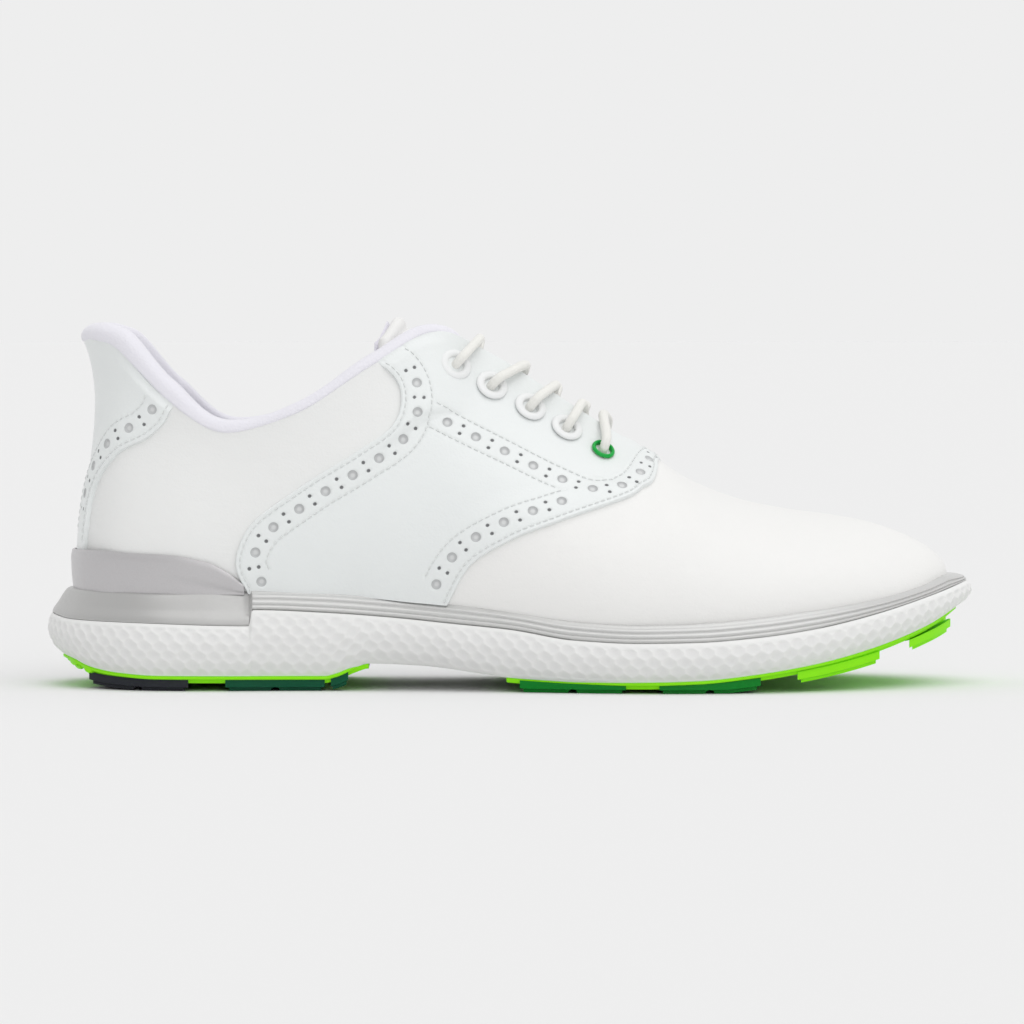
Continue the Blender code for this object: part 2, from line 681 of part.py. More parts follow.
def lace_side(first):
    """Half of the lacing: from the bar at the lowest pair of eyelets up to the top one."""
    side, lift = first, (3.3 if first == LATERAL else -0.3)
    lowest = len(EYELETS) - 1
    s = eyelet_seat(side, lowest)[0]
    points = lace_over(side, lowest, s + 0.05)
    bar = points[0] * (1, 0, 1) + (0.3, 0, 0.7)
    points = [bar, *points]
    for number in range(lowest - 1, -1, -1):
        s = eyelet_seat(side, number + 1)[0]
        edge, out, onward = throat_edge(side, s - 0.2)
        under = [edge - out * 3.55 - onward * 2.5, edge - out * 3.55 + onward * 2.0]
        side = 1 - side
        t = eyelet_seat(side, number)[0] + 0.25
        over = lace_over(side, number, t)
        far_edge = throat_edge(side, t)[0]
        middle = np.array([(under[1][0] + over[0][0]) / 2, 0, (edge[2] + far_edge[2]) / 2 + lift])
        points += [*under, middle, *over]
    return points


def build_lace():
    route = lace_side(LATERAL)[::-1] + lace_side(MEDIAL)[1:]
    tube("lace", smooth_path(route, 4.6), LACE_RADIUS, "lace_cotton")


# ---------------------------------------------------------------- sole

def build_sole():
    last_station = len(OUTLINE) - 1
    around = stations_with(29, [-83.4, -82.2, -56, -46, -2, 4])

    def top(x):
        seat = x - 4 * np.clip((x - 95) / 30, 0, 1)
        return level(FEATHER, np.clip(seat, -140, 142)) - GAP

    def between(low, high, part):
        return lambda x: low(x) * (1 - part) + high(x) * part

    def frame_under(x):
        return level(FRAME_UNDER, x)

    def ledge(x):
        return 4 + 3 * np.clip((-70 - x) / 20, 0, 1)

    slab(
        "frame",
        [
            ring(around, even(2.6), frame_under, upright=True),
            ring(around, even(1.9), between(frame_under, top, 0.25)),
            ring(around, lambda x: 1.9 + (ledge(x) - 1.9) * 0.35, between(frame_under, top, 0.7)),
            ring(around, ledge, top),
        ],
        "silver_frame",
    )

    def sole_under(x):
        return level(SOLE_UNDER, x)

    def sole_top(x):
        return level(FRAME_UNDER, x) - GAP

    slab(
        "midsole",
        [
            ring(around, even(5.5), sole_under),
            ring(around, even(1.4), between(sole_under, sole_top, 0.3)),
            ring(around, even(0.0), between(sole_under, sole_top, 0.65)),
            ring(around, even(1.6), sole_top, upright=True),
        ],
        "white_foam",
    )

    def plate_top(x):
        return level(SOLE_UNDER, x) - GAP

    def plate_under(x):
        return level(SOLE_UNDER, x) - GAP - PLATE

    plates = []
    x = outline_points(LATERAL, around)[:, 0]
    for name, start, stop in (("outsole_heel", -150, -46), ("outsole_forefoot", -2.5, 150)):
        span = around[(x >= start) & (x <= stop)]
        rings = [ring(span, even(PLATE_INSET + 1), plate_under), ring(span, even(PLATE_INSET), plate_top)]
        plates.append(slab(name, rings, LIME))
    return plates


def inner_ring(stations, inset, height):
    """A ring inside the lining, at a height above the upper's bottom edge."""
    sides = []
    tries = np.linspace(0, 0.5, 51)
    for side in (LATERAL, MEDIAL):
        s, v = np.meshgrid(stations, tries, indexing="ij")
        walls = skin(side, s, v, np.full(s.shape, -inset))
        heights = [np.interp(height, w[:, 2] - w[0, 2], tries) for w in walls]
        sides.append(skin(side, stations, np.array(heights), np.full(stations.shape, -inset)))
    for end in (0, -1):
        middle = (sides[0][end] + sides[1][end]) / 2
        sides[0][end] = sides[1][end] = middle
    return sides


def build_insole():
    stations = np.concatenate([np.linspace(0, 3, 5), np.linspace(4, 14, 11), np.linspace(15, TOE, 6)])
    slab("insole_board", [inner_ring(stations, 2.2, 0.1), inner_ring(stations, 2.2, 2.0)], "board")
    slab(
        "sockliner",
        [inner_ring(stations, 2.4, 2.3), inner_ring(stations, 2.2, 5.0), inner_ring(stations, 3.0, 6.2)],
        "lining_fabric",
    )


def build_heel_cup():
    """Shell round the heel, standing clear of the backtab at the back."""
    patches = []
    for side in (LATERAL, MEDIAL):
        found = np.array([locate(side, x, z, CUP[1]) for x, z in CUP_TOP])
        reach, tops = np.append(0, found[:, 0]), np.append(CUP_BACK, found[:, 1])
        columns = np.append(np.arange(0, found[-1, 0] - 0.2, 0.25), found[-1, 0])
        s, r = np.meshgrid(columns, np.linspace(0, 1, 4), indexing="ij")
        stand = OVERLAY_RISE * np.clip(2.2 - s, 0, 1)
        top = np.maximum(np.interp(s, reach, tops), 0.06)
        patches.append(patch(side, s, r * top, CUP[0] + stand, CUP[1] + stand))
    thick_sheet("heel_cup", patches, "silver_cup")


def lug_under(x):
    return np.maximum(level(SOLE_UNDER, x) - LUG_HEIGHT, 0)


def lug_ring(side, x, reach, grow, height, past_edge=0.0):
    """A ring round a lug. Its outer row follows the sole's edge, its inner row is bowed."""
    turn = 2 * side - 1
    span = reach + grow
    angle = np.linspace(math.pi, 0, 12)
    along = x + span * np.cos(angle)
    edge = ring(np.linspace(0.4, len(OUTLINE) - 1.05, 90), even(LUG_INSET - grow), height)[side]
    outer = np.interp(along, edge[:, 0], edge[:, 1])
    bow = LUG_DEPTH * reach * np.sin(angle) ** 0.8 + 2 * grow * np.sin(angle)
    rows = [
        np.column_stack([along, outer + turn * past_edge * np.sin(angle) ** 0.2, height(along)]),
        np.column_stack([along, outer - turn * bow, height(along)]),
    ]
    return rows if side == LATERAL else rows[::-1]


def build_lugs(plates):
    """Lugs, the larger ones with two crossing grooves, set in gaps of the plates."""
    for name, x, reach, material in LUGS:
        for side, word in ((LATERAL, "lateral"), (MEDIAL, "medial")):
            step = min(1.2, reach / 5)
            rings = [
                lug_ring(side, x, reach, -step, lug_under),
                lug_ring(side, x, reach, -step, lambda at: lug_under(at) + 1),
                lug_ring(side, x, reach, 0, lambda at: lug_under(at) + 1.2),
                lug_ring(side, x, reach, 0, lambda at: level(SOLE_UNDER, at) - GAP),
            ]
            lug = slab(f"{name}_{word}", rings, material)
            if reach > 5:
                low, high = np.concatenate(rings[0]).min(axis=0), np.concatenate(rings[0]).max(axis=0)
                middle = ((low + high) / 2 * (1, 1, 0) + (0, 0, low[2] - 0.35)) * MM
                grooves = []
                for spin, deep in (("X", LUG_GROOVE), ("Y", LUG_GROOVE - 0.3)):
                    along = Matrix.Rotation(math.pi / 2, 4, spin) @ Matrix.Rotation(0.2, 4, "Z")
                    matrix = Matrix.Translation(middle) @ along
                    grooves.append(rod(f"groove_{name}_{word}_{spin}", deep, 4 * reach, 7, matrix))
                cut(lug, grooves)
            socket = [
                lug_ring(side, x, reach, GAP, lambda at: level(SOLE_UNDER, at) - 4, 3),
                lug_ring(side, x, reach, GAP, lambda at: level(SOLE_UNDER, at) + 4, 3),
            ]
            cut(plates[0 if x < 0 else 1], [make_cutter(f"socket_{name}_{word}", stacked(socket))])


# ---------------------------------------------------------------- scene

def new_collection(name):
    collection = bpy.data.collections.new(name)
    bpy.context.scene.collection.children.link(collection)
    return collection


def make_materials():
    for name, (colour, roughness, metallic) in MATERIALS.items():
        material = bpy.data.materials.new(name)
        material.use_nodes = True
        shader = material.node_tree.nodes["Principled BSDF"]
        shader.inputs["Base Color"].default_value = (*colour, 1)
        shader.inputs["Roughness"].default_value = roughness
        shader.inputs["Metallic"].default_value = metallic


for old in list(bpy.data.objects):
    bpy.data.objects.remove(old, do_unlink=True)
PARTS = new_collection("golf_shoe")
CUTTERS = new_collection("cutters")
make_materials()
saddle, lining = build_upper()
stay_lateral, stay_medial = build_stiffeners()
build_collar_roll()
build_tongue()
build_eyelets(
    [
        (saddle, (LATERAL, MEDIAL)),
        (lining, (LATERAL, MEDIAL)),
        (stay_lateral, (LATERAL,)),
        (stay_medial, (MEDIAL,)),
    ]
)
build_lace()
build_insole()
build_heel_cup()
build_lugs(build_sole())
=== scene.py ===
"""Looks of the golf shoe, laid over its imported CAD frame.

Frame: +X to the toe, +Y to the inner (medial) side, +Z up, z = 0 under the lugs. Numbers are
millimetres unless a name ends in _M. The upper's pieces are dense sheets on the same surface as the
CAD, the last, with the punched holes, seams and stitches worked into the mesh. The sole's pieces are
dense walls round the same plan outline.
"""

import json
import math

import bmesh
import bpy
import numpy as np
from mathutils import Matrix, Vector
from mathutils.bvhtree import BVHTree
from mathutils.kdtree import KDTree


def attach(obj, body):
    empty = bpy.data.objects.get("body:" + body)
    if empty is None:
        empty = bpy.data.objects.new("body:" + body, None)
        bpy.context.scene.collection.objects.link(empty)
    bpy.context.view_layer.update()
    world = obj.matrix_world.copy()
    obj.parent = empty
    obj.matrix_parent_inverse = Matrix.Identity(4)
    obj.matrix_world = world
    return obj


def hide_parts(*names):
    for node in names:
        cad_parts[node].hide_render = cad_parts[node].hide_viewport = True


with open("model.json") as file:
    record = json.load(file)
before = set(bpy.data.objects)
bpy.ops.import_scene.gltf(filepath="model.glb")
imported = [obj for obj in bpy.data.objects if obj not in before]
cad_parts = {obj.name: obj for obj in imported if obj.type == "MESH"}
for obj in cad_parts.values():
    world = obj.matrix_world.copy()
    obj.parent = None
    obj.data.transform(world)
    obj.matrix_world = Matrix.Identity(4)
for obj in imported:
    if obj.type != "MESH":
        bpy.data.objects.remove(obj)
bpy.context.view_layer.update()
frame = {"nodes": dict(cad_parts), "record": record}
MM = 0.001
LATERAL, MEDIAL = 0, 1

# Distances from the last, inner and outer face.
LINING = (-1.4, 0.0)
LEATHER = (2.0, 3.0)
OVERLAY_RISE = 1.6
CUP = (3.4, 4.6)
LACE_RADIUS = 1.55
LACE_STEP = 0.42
TONGUE_DROP = 5.7

# Ribs of the last. Bottom edge: x, y lateral, y medial. Top edge: x, y lateral, y medial, z.
# Handles: out and up from the bottom edge, out and down from the top edge.
RIBS = (
    (-137.6, 0.0, 0.0, -137.9, 0.0, 0.0, 114.2, 5, 27, -11, 26),
    (-134.5, -14, 14, -134.4, -10, 10, 114.6, 5, 27, -10, 26),
    (-126, -25.5, 25, -126, -18, 18, 111, 5, 26, -7, 26),
    (-110, -31.5, 30.5, -111, -23.5, 23.5, 95, 5, 22, -3, 20),
    (-90, -33.5, 30.5, -93, -27, 27, 83.5, 5, 18, 1, 16),
    (-65, -34, 28, -68, -29.5, 29, 90, 6, 20, 3, 20),
    (-40, -35.5, 26.5, -45, -26, 26, 105, 7, 24, 5, 24),
    (-20, -38, 28, -26, -16.5, 17, 115, 7, 28, 10, 22),
    (0, -42, 32, -8, -10, 10, 107.5, 7, 28, 13, 17),
    (18, -45, 37, 8, -8.5, 8.5, 97.5, 6, 26, 14, 16),
    (34, -47, 42, 22, -7.5, 7.5, 88, 5, 24, 15, 13),
    (48, -47.5, 45.5, 34, -6, 6, 80, 4, 22, 17, 9),
    (62, -47, 48, 43, 0, 0, 74.2, 4, 20, 20, 0),
    (78, -44.5, 48, 57, 0, 0, 65, 3, 19, 23, 0),
    (94, -39.5, 45.5, 73, 0, 0, 58.5, 2, 17, 21, 0),
    (110, -32, 40, 89, 0, 0, 55, 1, 13, 18, 0),
    (126, -20.5, 30.5, 103, 0, 0, 53.1, 0, 9, 15, 0),
    (137.5, -6.5, 18, 111, 0, 0, 51.8, 0, 7, 13, 0),
    (141.4, 6, 6, 113, 0, 0, 51.4, 0, 7, 13, 0),
)
TOE = len(RIBS) - 1
THROAT = 12

# Height of the upper's bottom edge along x.
FEATHER = (
    (-140, 30.6), (-110, 31.2), (-80, 32.2), (-60, 31.6), (-40, 30.1), (-20, 28.3), (0, 25.8),
    (20, 22.7), (40, 21.6), (60, 22.1), (80, 23.6), (100, 26), (120, 29.4), (135, 33), (142, 35.6),
)

# Plan outline of the midsole at its fullest: x, y lateral, y medial.
OUTLINE = (
    (-152.7, 0, 0), (-149, -16, 16), (-140, -30, 29.5), (-122, -41, 40), (-100, -44, 42),
    (-70, -42.5, 38.5), (-40, -42.5, 35), (-10, -47, 36.5), (20, -53.5, 44), (45, -57, 53),
    (70, -56, 57.5), (95, -49.5, 55.5), (118, -38, 47.5), (137, -22, 34), (149, -6, 20),
    (152.8, 7, 7),
)

# Heights along x: underside of the frame, with its step at the front of the heel wedge, and
# underside of the midsole, with the recess under the arch.
FRAME_UNDER = (
    (-152, 23.4), (-145, 22.4), (-120, 21.9), (-83.4, 21), (-82.2, 26.2), (-60, 25.3), (-40, 23.9),
    (-20, 22), (0, 20.1), (20, 17), (40, 16.1), (60, 16.4), (80, 17.8), (100, 20.4), (120, 24.6),
    (140, 30), (152, 33.6),
)
SOLE_UNDER = (
    (-152, 10), (-146, 8.6), (-140, 6.6), (-130, 5), (-115, 4.2), (-60, 4.1), (-56, 5), (-50, 7.6),
    (-46, 8.8), (-30, 8.2), (-10, 5.8), (-2, 4.7), (4, 4.3), (20, 3.5), (40, 3), (60, 3.5),
    (80, 5.4), (100, 8.4), (120, 13), (140, 19.6), (152, 25.5),
)

# Edges of the panels: x, z on the side of the shoe from the bottom up, then the rib at the top edge.
SADDLE_REAR = (
    (
        (-84.5, 32), (-88.5, 40), (-86.5, 49), (-80, 57), (-65, 67.5), (-49.5, 77), (-38.5, 85),
        (-35.5, 93), (-37, 100),
    ),
    6.05,
)
SADDLE_FRONT = (
    ((-20.5, 28.5), (-13, 40.5), (0, 48.8), (14.5, 54.3), (32.5, 60.2), (42, 64.5), (47, 68.5)),
    12.38,
)
BACKTAB_FRONT = (
    ((-138, 33), (-138, 49), (-135.5, 64), (-128.6, 75), (-119.3, 80.5), (-112.6, 86)),
    3.17,
)
CUP_TOP = ((-125, 44.5), (-108, 43.6), (-98, 41.6), (-91, 38), (-86, 34.2))
CUP_BACK = 0.166
EYELETS = ((-18, 105), (-6.2, 98.2), (6.3, 91.2), (18.2, 84.4), (30, 77.2))

# Top of the tongue above the lacing: x, z on the centre line, half width, drop and set-back of the
# edges.
TONGUE_TOP = (
    (-21, 109, 19, 13, 4), (-28, 112.5, 19, 11, 6), (-33.5, 117, 18, 9, 7), (-35.5, 121.5, 15, 7, 6),
)

# Thickness of the outsole plates.
PLATE = 1.2

# Brogue: each band has a row of stitches along each side, about BAND_SEAM from its middle.
LARGE_HOLE = 1.55
SMALL_HOLE = 0.62
HOLE_PITCH = 10.2
BAND_SEAM = 4.25
STITCH_PITCH = 2.3
SEAM_INSET = 1.55
SMALL_HOLE_SHIFT = 1.55
STITCH = (1.65, 0.5, 0.34)
# Centre of the upper band: x, z on the side of the shoe, from the rear band to the throat's end.
UPPER_BAND = (
    (-29.5, 91.5), (-20, 86.5), (-10, 81.4), (-0.5, 76.8), (9.2, 71.9), (18.4, 67.7), (27.5, 64.3),
    (36.5, 65.6), (42.3, 69.8),
)
BAND_CREST = (46.8, 0.0, 76.0)


# ---------------------------------------------------------------- curves

def catmull(rows, t, before, after):
    """Rows of control values read as a uniform Catmull-Rom curve at the parameters t."""
    rows = np.vstack([before, rows, after])
    t = np.asarray(t, float)
    start = np.clip(np.floor(t).astype(int), 0, len(rows) - 4)
    f = (t - start)[..., None]
    a, b, c, d = (rows[start + k] for k in range(4))
    return b + 0.5 * f * (c - a + f * (2 * a - 5 * b + 4 * c - d + f * (3 * (b - c) + d - a)))


def level(table, x):
    """Heights of a table of x, z at x, smooth and never past its own points."""
    xs, zs = np.array(table, float).T
    step = np.diff(xs)
    rise = np.diff(zs) / step
    slope = np.zeros(len(xs))
    same = rise[:-1] * rise[1:] > 0
    mean = 2 * rise[:-1] * rise[1:] / np.where(same, rise[:-1] + rise[1:], 1)
    slope[1:-1] = np.where(same, mean, 0)
    slope[0], slope[-1] = rise[0], rise[-1]
    x = np.clip(np.asarray(x, float), xs[0], xs[-1])
    i = np.clip(np.searchsorted(xs, x) - 1, 0, len(step) - 1)
    h, f = step[i], (x - xs[i]) / step[i]
    return (
        zs[i] * (1 + 2 * f) * (1 - f) ** 2
        + slope[i] * h * f * (1 - f) ** 2
        + zs[i + 1] * f * f * (3 - 2 * f)
        - slope[i + 1] * h * f * f * (1 - f)
    )


def smooth_path(points, spacing):
    """Points along a Catmull-Rom curve through the route's points, about one spacing apart."""
    points = np.array(points, float)
    ends = 2 * points[[0, -1]] - points[[1, -2]]
    fine = catmull(points, np.linspace(0, len(points) - 1, 40 * len(points)), ends[:1], ends[1:])
    along = np.concatenate([[0], np.cumsum(np.linalg.norm(np.diff(fine, axis=0), axis=1))])
    stops = np.linspace(0, along[-1], max(2, round(along[-1] / spacing)) + 1)
    return np.stack([np.interp(stops, along, fine[:, k]) for k in range(3)], axis=1)


# ---------------------------------------------------------------- the last

def rib_rows(side):
    rows = np.array(RIBS, float)
    return np.delete(rows, [2 - side, 5 - side], axis=1)


ROWS = (rib_rows(LATERAL), rib_rows(MEDIAL))


def ribs(side, s):
    """Bottom x y, top x y z and the four handle lengths at stations s. The ends mirror the far side."""
    rows, other = ROWS[side], ROWS[1 - side]
    return catmull(rows, s, other[1:2], other[-2:-1])


def last(side, s, v):
    """Points of the last at stations s and heights v, from 0 at the bottom to 1 at the top."""
    s, v = np.broadcast_arrays(np.asarray(s, float), np.asarray(v, float))
    rib = ribs(side, s)
    ahead, back = ribs(side, np.minimum(s + 0.05, TOE)), ribs(side, np.maximum(s - 0.05, 0))
    along = ahead[..., :2] - back[..., :2]
    along[s <= 0] = (0, 2 * side - 1)
    along[s >= TOE] = (0, 1 - 2 * side)
    along /= np.linalg.norm(along, axis=-1, keepdims=True)
    turn = 1 if side == LATERAL else -1
    out = np.stack([turn * along[..., 1], -turn * along[..., 0]], axis=-1)
    fall = back_slope(s) * np.clip(s - THROAT + 1, 0, 1)
    bottom = np.stack([rib[..., 0], rib[..., 1], level(FEATHER, rib[..., 0])], axis=-1)
    top = rib[..., 2:5].copy()
    top[s >= THROAT, 1] = 0
    out3 = np.concatenate([out, np.zeros(s.shape + (1,))], axis=-1)
    low = bottom + out3 * rib[..., 5:6] + np.array([0, 0, 1.0]) * rib[..., 6:7]
    high = top + out3 * rib[..., 7:8] - np.array([0, 0, 1.0]) * rib[..., 8:9]
    high[..., 2] += fall * out[..., 0] * rib[..., 7]
    w = v[..., None]
    return (
        bottom * (1 - w) ** 3 + 3 * low * w * (1 - w) ** 2 + 3 * high * w * w * (1 - w) + top * w ** 3
    )


def back_slope(s):
    """Slope of the upper's top edge along x at stations s, as it is over the toes."""
    here, behind = ribs(LATERAL, s), ribs(LATERAL, np.maximum(s - 0.5, 0))
    run = np.maximum(here[..., 2] - behind[..., 2], 0.01)
    return (here[..., 4] - behind[..., 4]) / run


def normals(side, s, v):
    """Outward unit normals of the last."""
    s, v = np.broadcast_arrays(np.asarray(s, float), np.asarray(v, float))
    e = 0.02
    dip = np.minimum(v, 0.985)
    ds = last(side, np.minimum(s + e, TOE), dip) - last(side, np.maximum(s - e, 0), dip)
    dv = last(side, s, np.minimum(v + e, 1)) - last(side, s, np.maximum(v - e, 0))
    n = np.cross(ds, dv) * (1 if side == LATERAL else -1)
    ridge = (s >= THROAT) & (v > 0.999)
    flat = np.stack([-back_slope(s), np.zeros(s.shape), np.ones(s.shape)], axis=-1)
    n = np.where(ridge[..., None], flat, n)
    seam = (s <= 0) | (s >= TOE)
    n[..., 1] = np.where(seam & (v > 0.5), 0, n[..., 1])
    return n / np.linalg.norm(n, axis=-1, keepdims=True)


def skin(side, s, v, offset):
    """Points at an offset from the last. The bottom edge stays level, where it is trimmed."""
    base = last(side, s, v)
    points = base + normals(side, s, v) * np.asarray(offset, float)[..., None]
    points[..., 2] = np.where(np.asarray(v) <= 0, base[..., 2], points[..., 2])
    return points


def locate(side, x, z, offset=LEATHER[1]):
    """The station and height where the skin at an offset passes through x, z in the side view."""
    s, v = (g.ravel() for g in np.meshgrid(np.linspace(0, TOE, 121), np.linspace(0, 1, 41)))
    near = skin(side, s, v, np.full(s.shape, offset))
    pick = np.argmin((near[:, 0] - x) ** 2 + (near[:, 2] - z) ** 2)
    at = np.array([s[pick], v[pick]])
    for _ in range(12):
        trial = at + np.array([[0, 0], [0.01, 0], [0, 0.01]])
        p = skin(side, trial[:, 0], trial[:, 1], np.full(3, offset))[:, [0, 2]]
        slopes = (p[1:] - p[0]).T / 0.01
        at = at + np.clip(np.linalg.lstsq(slopes, np.array([x, z]) - p[0], rcond=None)[0], -0.5, 0.5)
        at = np.clip(at, [0.02, 0], [TOE, 1])
    return at


# ---------------------------------------------------------------- materials

class Surface:
    """A Principled material, and short ways to put textures into it. Texture sizes are in mm."""

    def __init__(self, name, colour, roughness, **sockets):
        self.material = bpy.data.materials.new(name)
        self.material.use_nodes = True
        self.tree = self.material.node_tree
        self.shader = self.tree.nodes["Principled BSDF"]
        self.colour = colour
        self.shader.inputs["Base Color"].default_value = (*colour, 1)
        self.shader.inputs["Roughness"].default_value = roughness
        for socket, value in sockets.items():
            self.shader.inputs[socket.replace("_", " ")].default_value = value
        self.place = self.node("ShaderNodeTexCoord").outputs["Object"]
        self.heights = []

    def node(self, kind, **values):
        made = self.tree.nodes.new(kind)
        for key, value in values.items():
            setattr(made, key, value)
        return made

    def link(self, source, socket):
        self.tree.links.new(source, socket)

    def math(self, operation, a, b=None, c=None):
        made = self.node("ShaderNodeMath", operation=operation)
        for socket, value in zip(made.inputs, (a, b, c)):
            if value is None:
                continue
            if isinstance(value, (int, float)):
                socket.default_value = value
            else:
                self.link(value, socket)
        return made.outputs[0]

    def noise(self, size, detail=3.0, stretch=(1, 1, 1)):
        """Noise between 0 and 1 with features of about one size."""
        turn = self.node("ShaderNodeMapping")
        turn.inputs["Scale"].default_value = stretch
        self.link(self.place, turn.inputs["Vector"])
        made = self.node("ShaderNodeTexNoise")
        made.inputs["Scale"].default_value = 1 / (size * MM)
        made.inputs["Detail"].default_value = detail
        self.link(turn.outputs[0], made.inputs["Vector"])
        return made.outputs["Fac"]

    def cells(self, size, feature="F1"):
        made = self.node("ShaderNodeTexVoronoi", feature=feature)
        made.inputs["Scale"].default_value = 1 / (size * MM)
        self.link(self.place, made.inputs["Vector"])
        return made.outputs["Distance"]

    def field(self, name):
        """A number stored on the mesh's vertices."""
        return self.node("ShaderNodeAttribute", attribute_name=name).outputs["Fac"]

    def inside(self, value, edge, soft):
        """1 where value is below edge, 0 above it, with a soft step between."""
        made = self.node("ShaderNodeMapRange", interpolation_type="SMOOTHSTEP")
        made.inputs["From Min"].default_value = edge - soft
        made.inputs["From Max"].default_value = edge + soft
        made.inputs["To Min"].default_value = 1
        made.inputs["To Max"].default_value = 0
        self.link(value, made.inputs["Value"])
        return made.outputs[0]

    def tint(self, factor, colour):
        """Mixes a colour over what is there, by factor."""
        made = self.node("ShaderNodeMix", data_type="RGBA")
        under = self.shader.inputs["Base Color"]
        if under.is_linked:
            self.link(under.links[0].from_socket, made.inputs[6])
        else:
            made.inputs[6].default_value = under.default_value
        made.inputs[7].default_value = (*colour, 1)
        self.link(factor, made.inputs[0])
        self.link(made.outputs[2], under)

    def mottle(self, size, amount, colour):
        """Faint uneven colour."""
        self.tint(self.math("MULTIPLY", self.noise(size), amount), colour)

    def vary_roughness(self, size, low, high):
        made = self.node("ShaderNodeMapRange")
        made.inputs["From Min"].default_value = 0.3
        made.inputs["From Max"].default_value = 0.7
        made.inputs["To Min"].default_value = low
        made.inputs["To Max"].default_value = high
        self.link(self.noise(size), made.inputs["Value"])
        self.link(made.outputs[0], self.shader.inputs["Roughness"])

    def relief(self, height, depth):
        """Adds relief of a depth in mm, driven by a height between 0 and 1."""
        self.heights.append(self.math("MULTIPLY", height, depth * MM))

    def done(self):
        if self.heights:
            total = self.heights[0]
            for height in self.heights[1:]:
                total = self.math("ADD", total, height)
            bump = self.node("ShaderNodeBump")
            bump.inputs["Distance"].default_value = 1.0
            bump.inputs["Strength"].default_value = 1.0
            self.link(total, bump.inputs["Height"])
            self.link(bump.outputs[0], self.shader.inputs["Normal"])
        return self.material


def leather(name, colour, shade, low, high):
    """Smooth leather: pores, faint creases and slightly uneven gloss, with punched holes whose insides are
    tinted grey, partly the colour of the layer beneath and partly painted shade.
    """
    made = Surface(name, colour, 0.5, Coat_Weight=0.05, Coat_Roughness=0.3)
    made.mottle(35, 0.35, shade)
    made.mottle(4, 0.12, shade)
    made.vary_roughness(14, low, high)
    made.relief(made.cells(0.75), 0.035)
    made.relief(made.noise(0.4), 0.02)
    made.relief(made.noise(7, 4, (1, 1, 2.5)), 0.10)
    # Large holes: a grey disc, partly the colour of the layer beneath and partly painted shade inside the
    # hole.
    underlay_and_shade_disc = made.inside(made.field("large"), LARGE_HOLE, 0.14)
    made.tint(underlay_and_shade_disc, (0.55, 0.56, 0.565))
    # A lighter middle, where the painted shade inside the hole is weakest.
    centre = made.inside(made.field("large"), 0.75, 0.35)
    made.tint(centre, (0.68, 0.69, 0.69))
    # A dark ring round the hole's edge: painted shade under the cut wall of the hole.
    from_rim = made.math("ABSOLUTE", made.math("SUBTRACT", made.field("large"), LARGE_HOLE))
    rim = made.inside(from_rim, 0.1, 0.1)
    made.tint(made.math("MULTIPLY", rim, 0.6), (0.36, 0.37, 0.37))
    # Small holes tinted near black: partly the colour beneath, mostly painted shade inside the narrow
    # holes.
    made.tint(made.inside(made.field("small"), SMALL_HOLE, 0.14), (0.16, 0.165, 0.17))
    return made.done()


def knit(name, colour, shade):
    """Fine knitted fabric."""
    made = Surface(name, colour, 0.85, Sheen_Weight=0.35, Sheen_Roughness=0.5)
    made.mottle(18, 0.3, shade)
    made.mottle(1.2, 0.35, shade)
    made.relief(made.cells(0.8), 0.10)
    made.relief(made.noise(0.5), 0.06)
    return made.done()


def silver(name, colour, shade):
    """Satin metallic coating with a fine flake."""
    made = Surface(name, colour, 0.36, Metallic=0.35, Coat_Weight=0.15, Coat_Roughness=0.25)
    made.mottle(25, 0.3, shade)
    made.mottle(0.5, 0.25, (0.8, 0.8, 0.8))
    made.vary_roughness(1.0, 0.3, 0.44)
    made.relief(made.noise(0.6), 0.012)
    made.tint(made.math("MULTIPLY", made.field("wedge"), 0.5), (0.36, 0.355, 0.35))
    return made.done()


def foam():
    made = Surface("midsole_foam", (0.86, 0.86, 0.85), 0.55)
    made.mottle(22, 0.25, (0.76, 0.76, 0.75))
    made.vary_roughness(9, 0.48, 0.64)
    made.relief(made.cells(0.55), 0.03)
    # The pits are tinted darker: painted shade in the hollows of the relief.
    made.tint(made.math("MULTIPLY", made.field("pit"), 0.30), (0.62, 0.62, 0.625))
    return made.done()


def rubber(name, colour, shade, roughness):
    made = Surface(name, colour, roughness, Specular_IOR_Level=0.18)
    made.mottle(12, 0.4, shade)
    made.vary_roughness(5, roughness - 0.08, roughness + 0.1)
    made.relief(made.noise(0.35), 0.03)
    return made.done()


def lacquer(name, colour, shade):
    """Glossy lacquer on a pressed ring."""
    made = Surface(name, colour, 0.3, Coat_Weight=0.25, Coat_Roughness=0.08, Specular_IOR_Level=0.25)
    made.mottle(3, 0.25, shade)
    made.relief(made.noise(1.5), 0.015)
    return made.done()


def thread(name, colour, shade):
    made = Surface(name, colour, 0.7, Sheen_Weight=0.2)
    made.mottle(0.6, 0.4, shade)
    made.relief(made.noise(0.2), 0.03)
    return made.done()


def board():
    made = Surface("hidden_board", (0.72, 0.66, 0.55), 0.8)
    made.mottle(2, 0.4, (0.6, 0.54, 0.44))
    made.relief(made.noise(0.6), 0.05)
    return made.done()


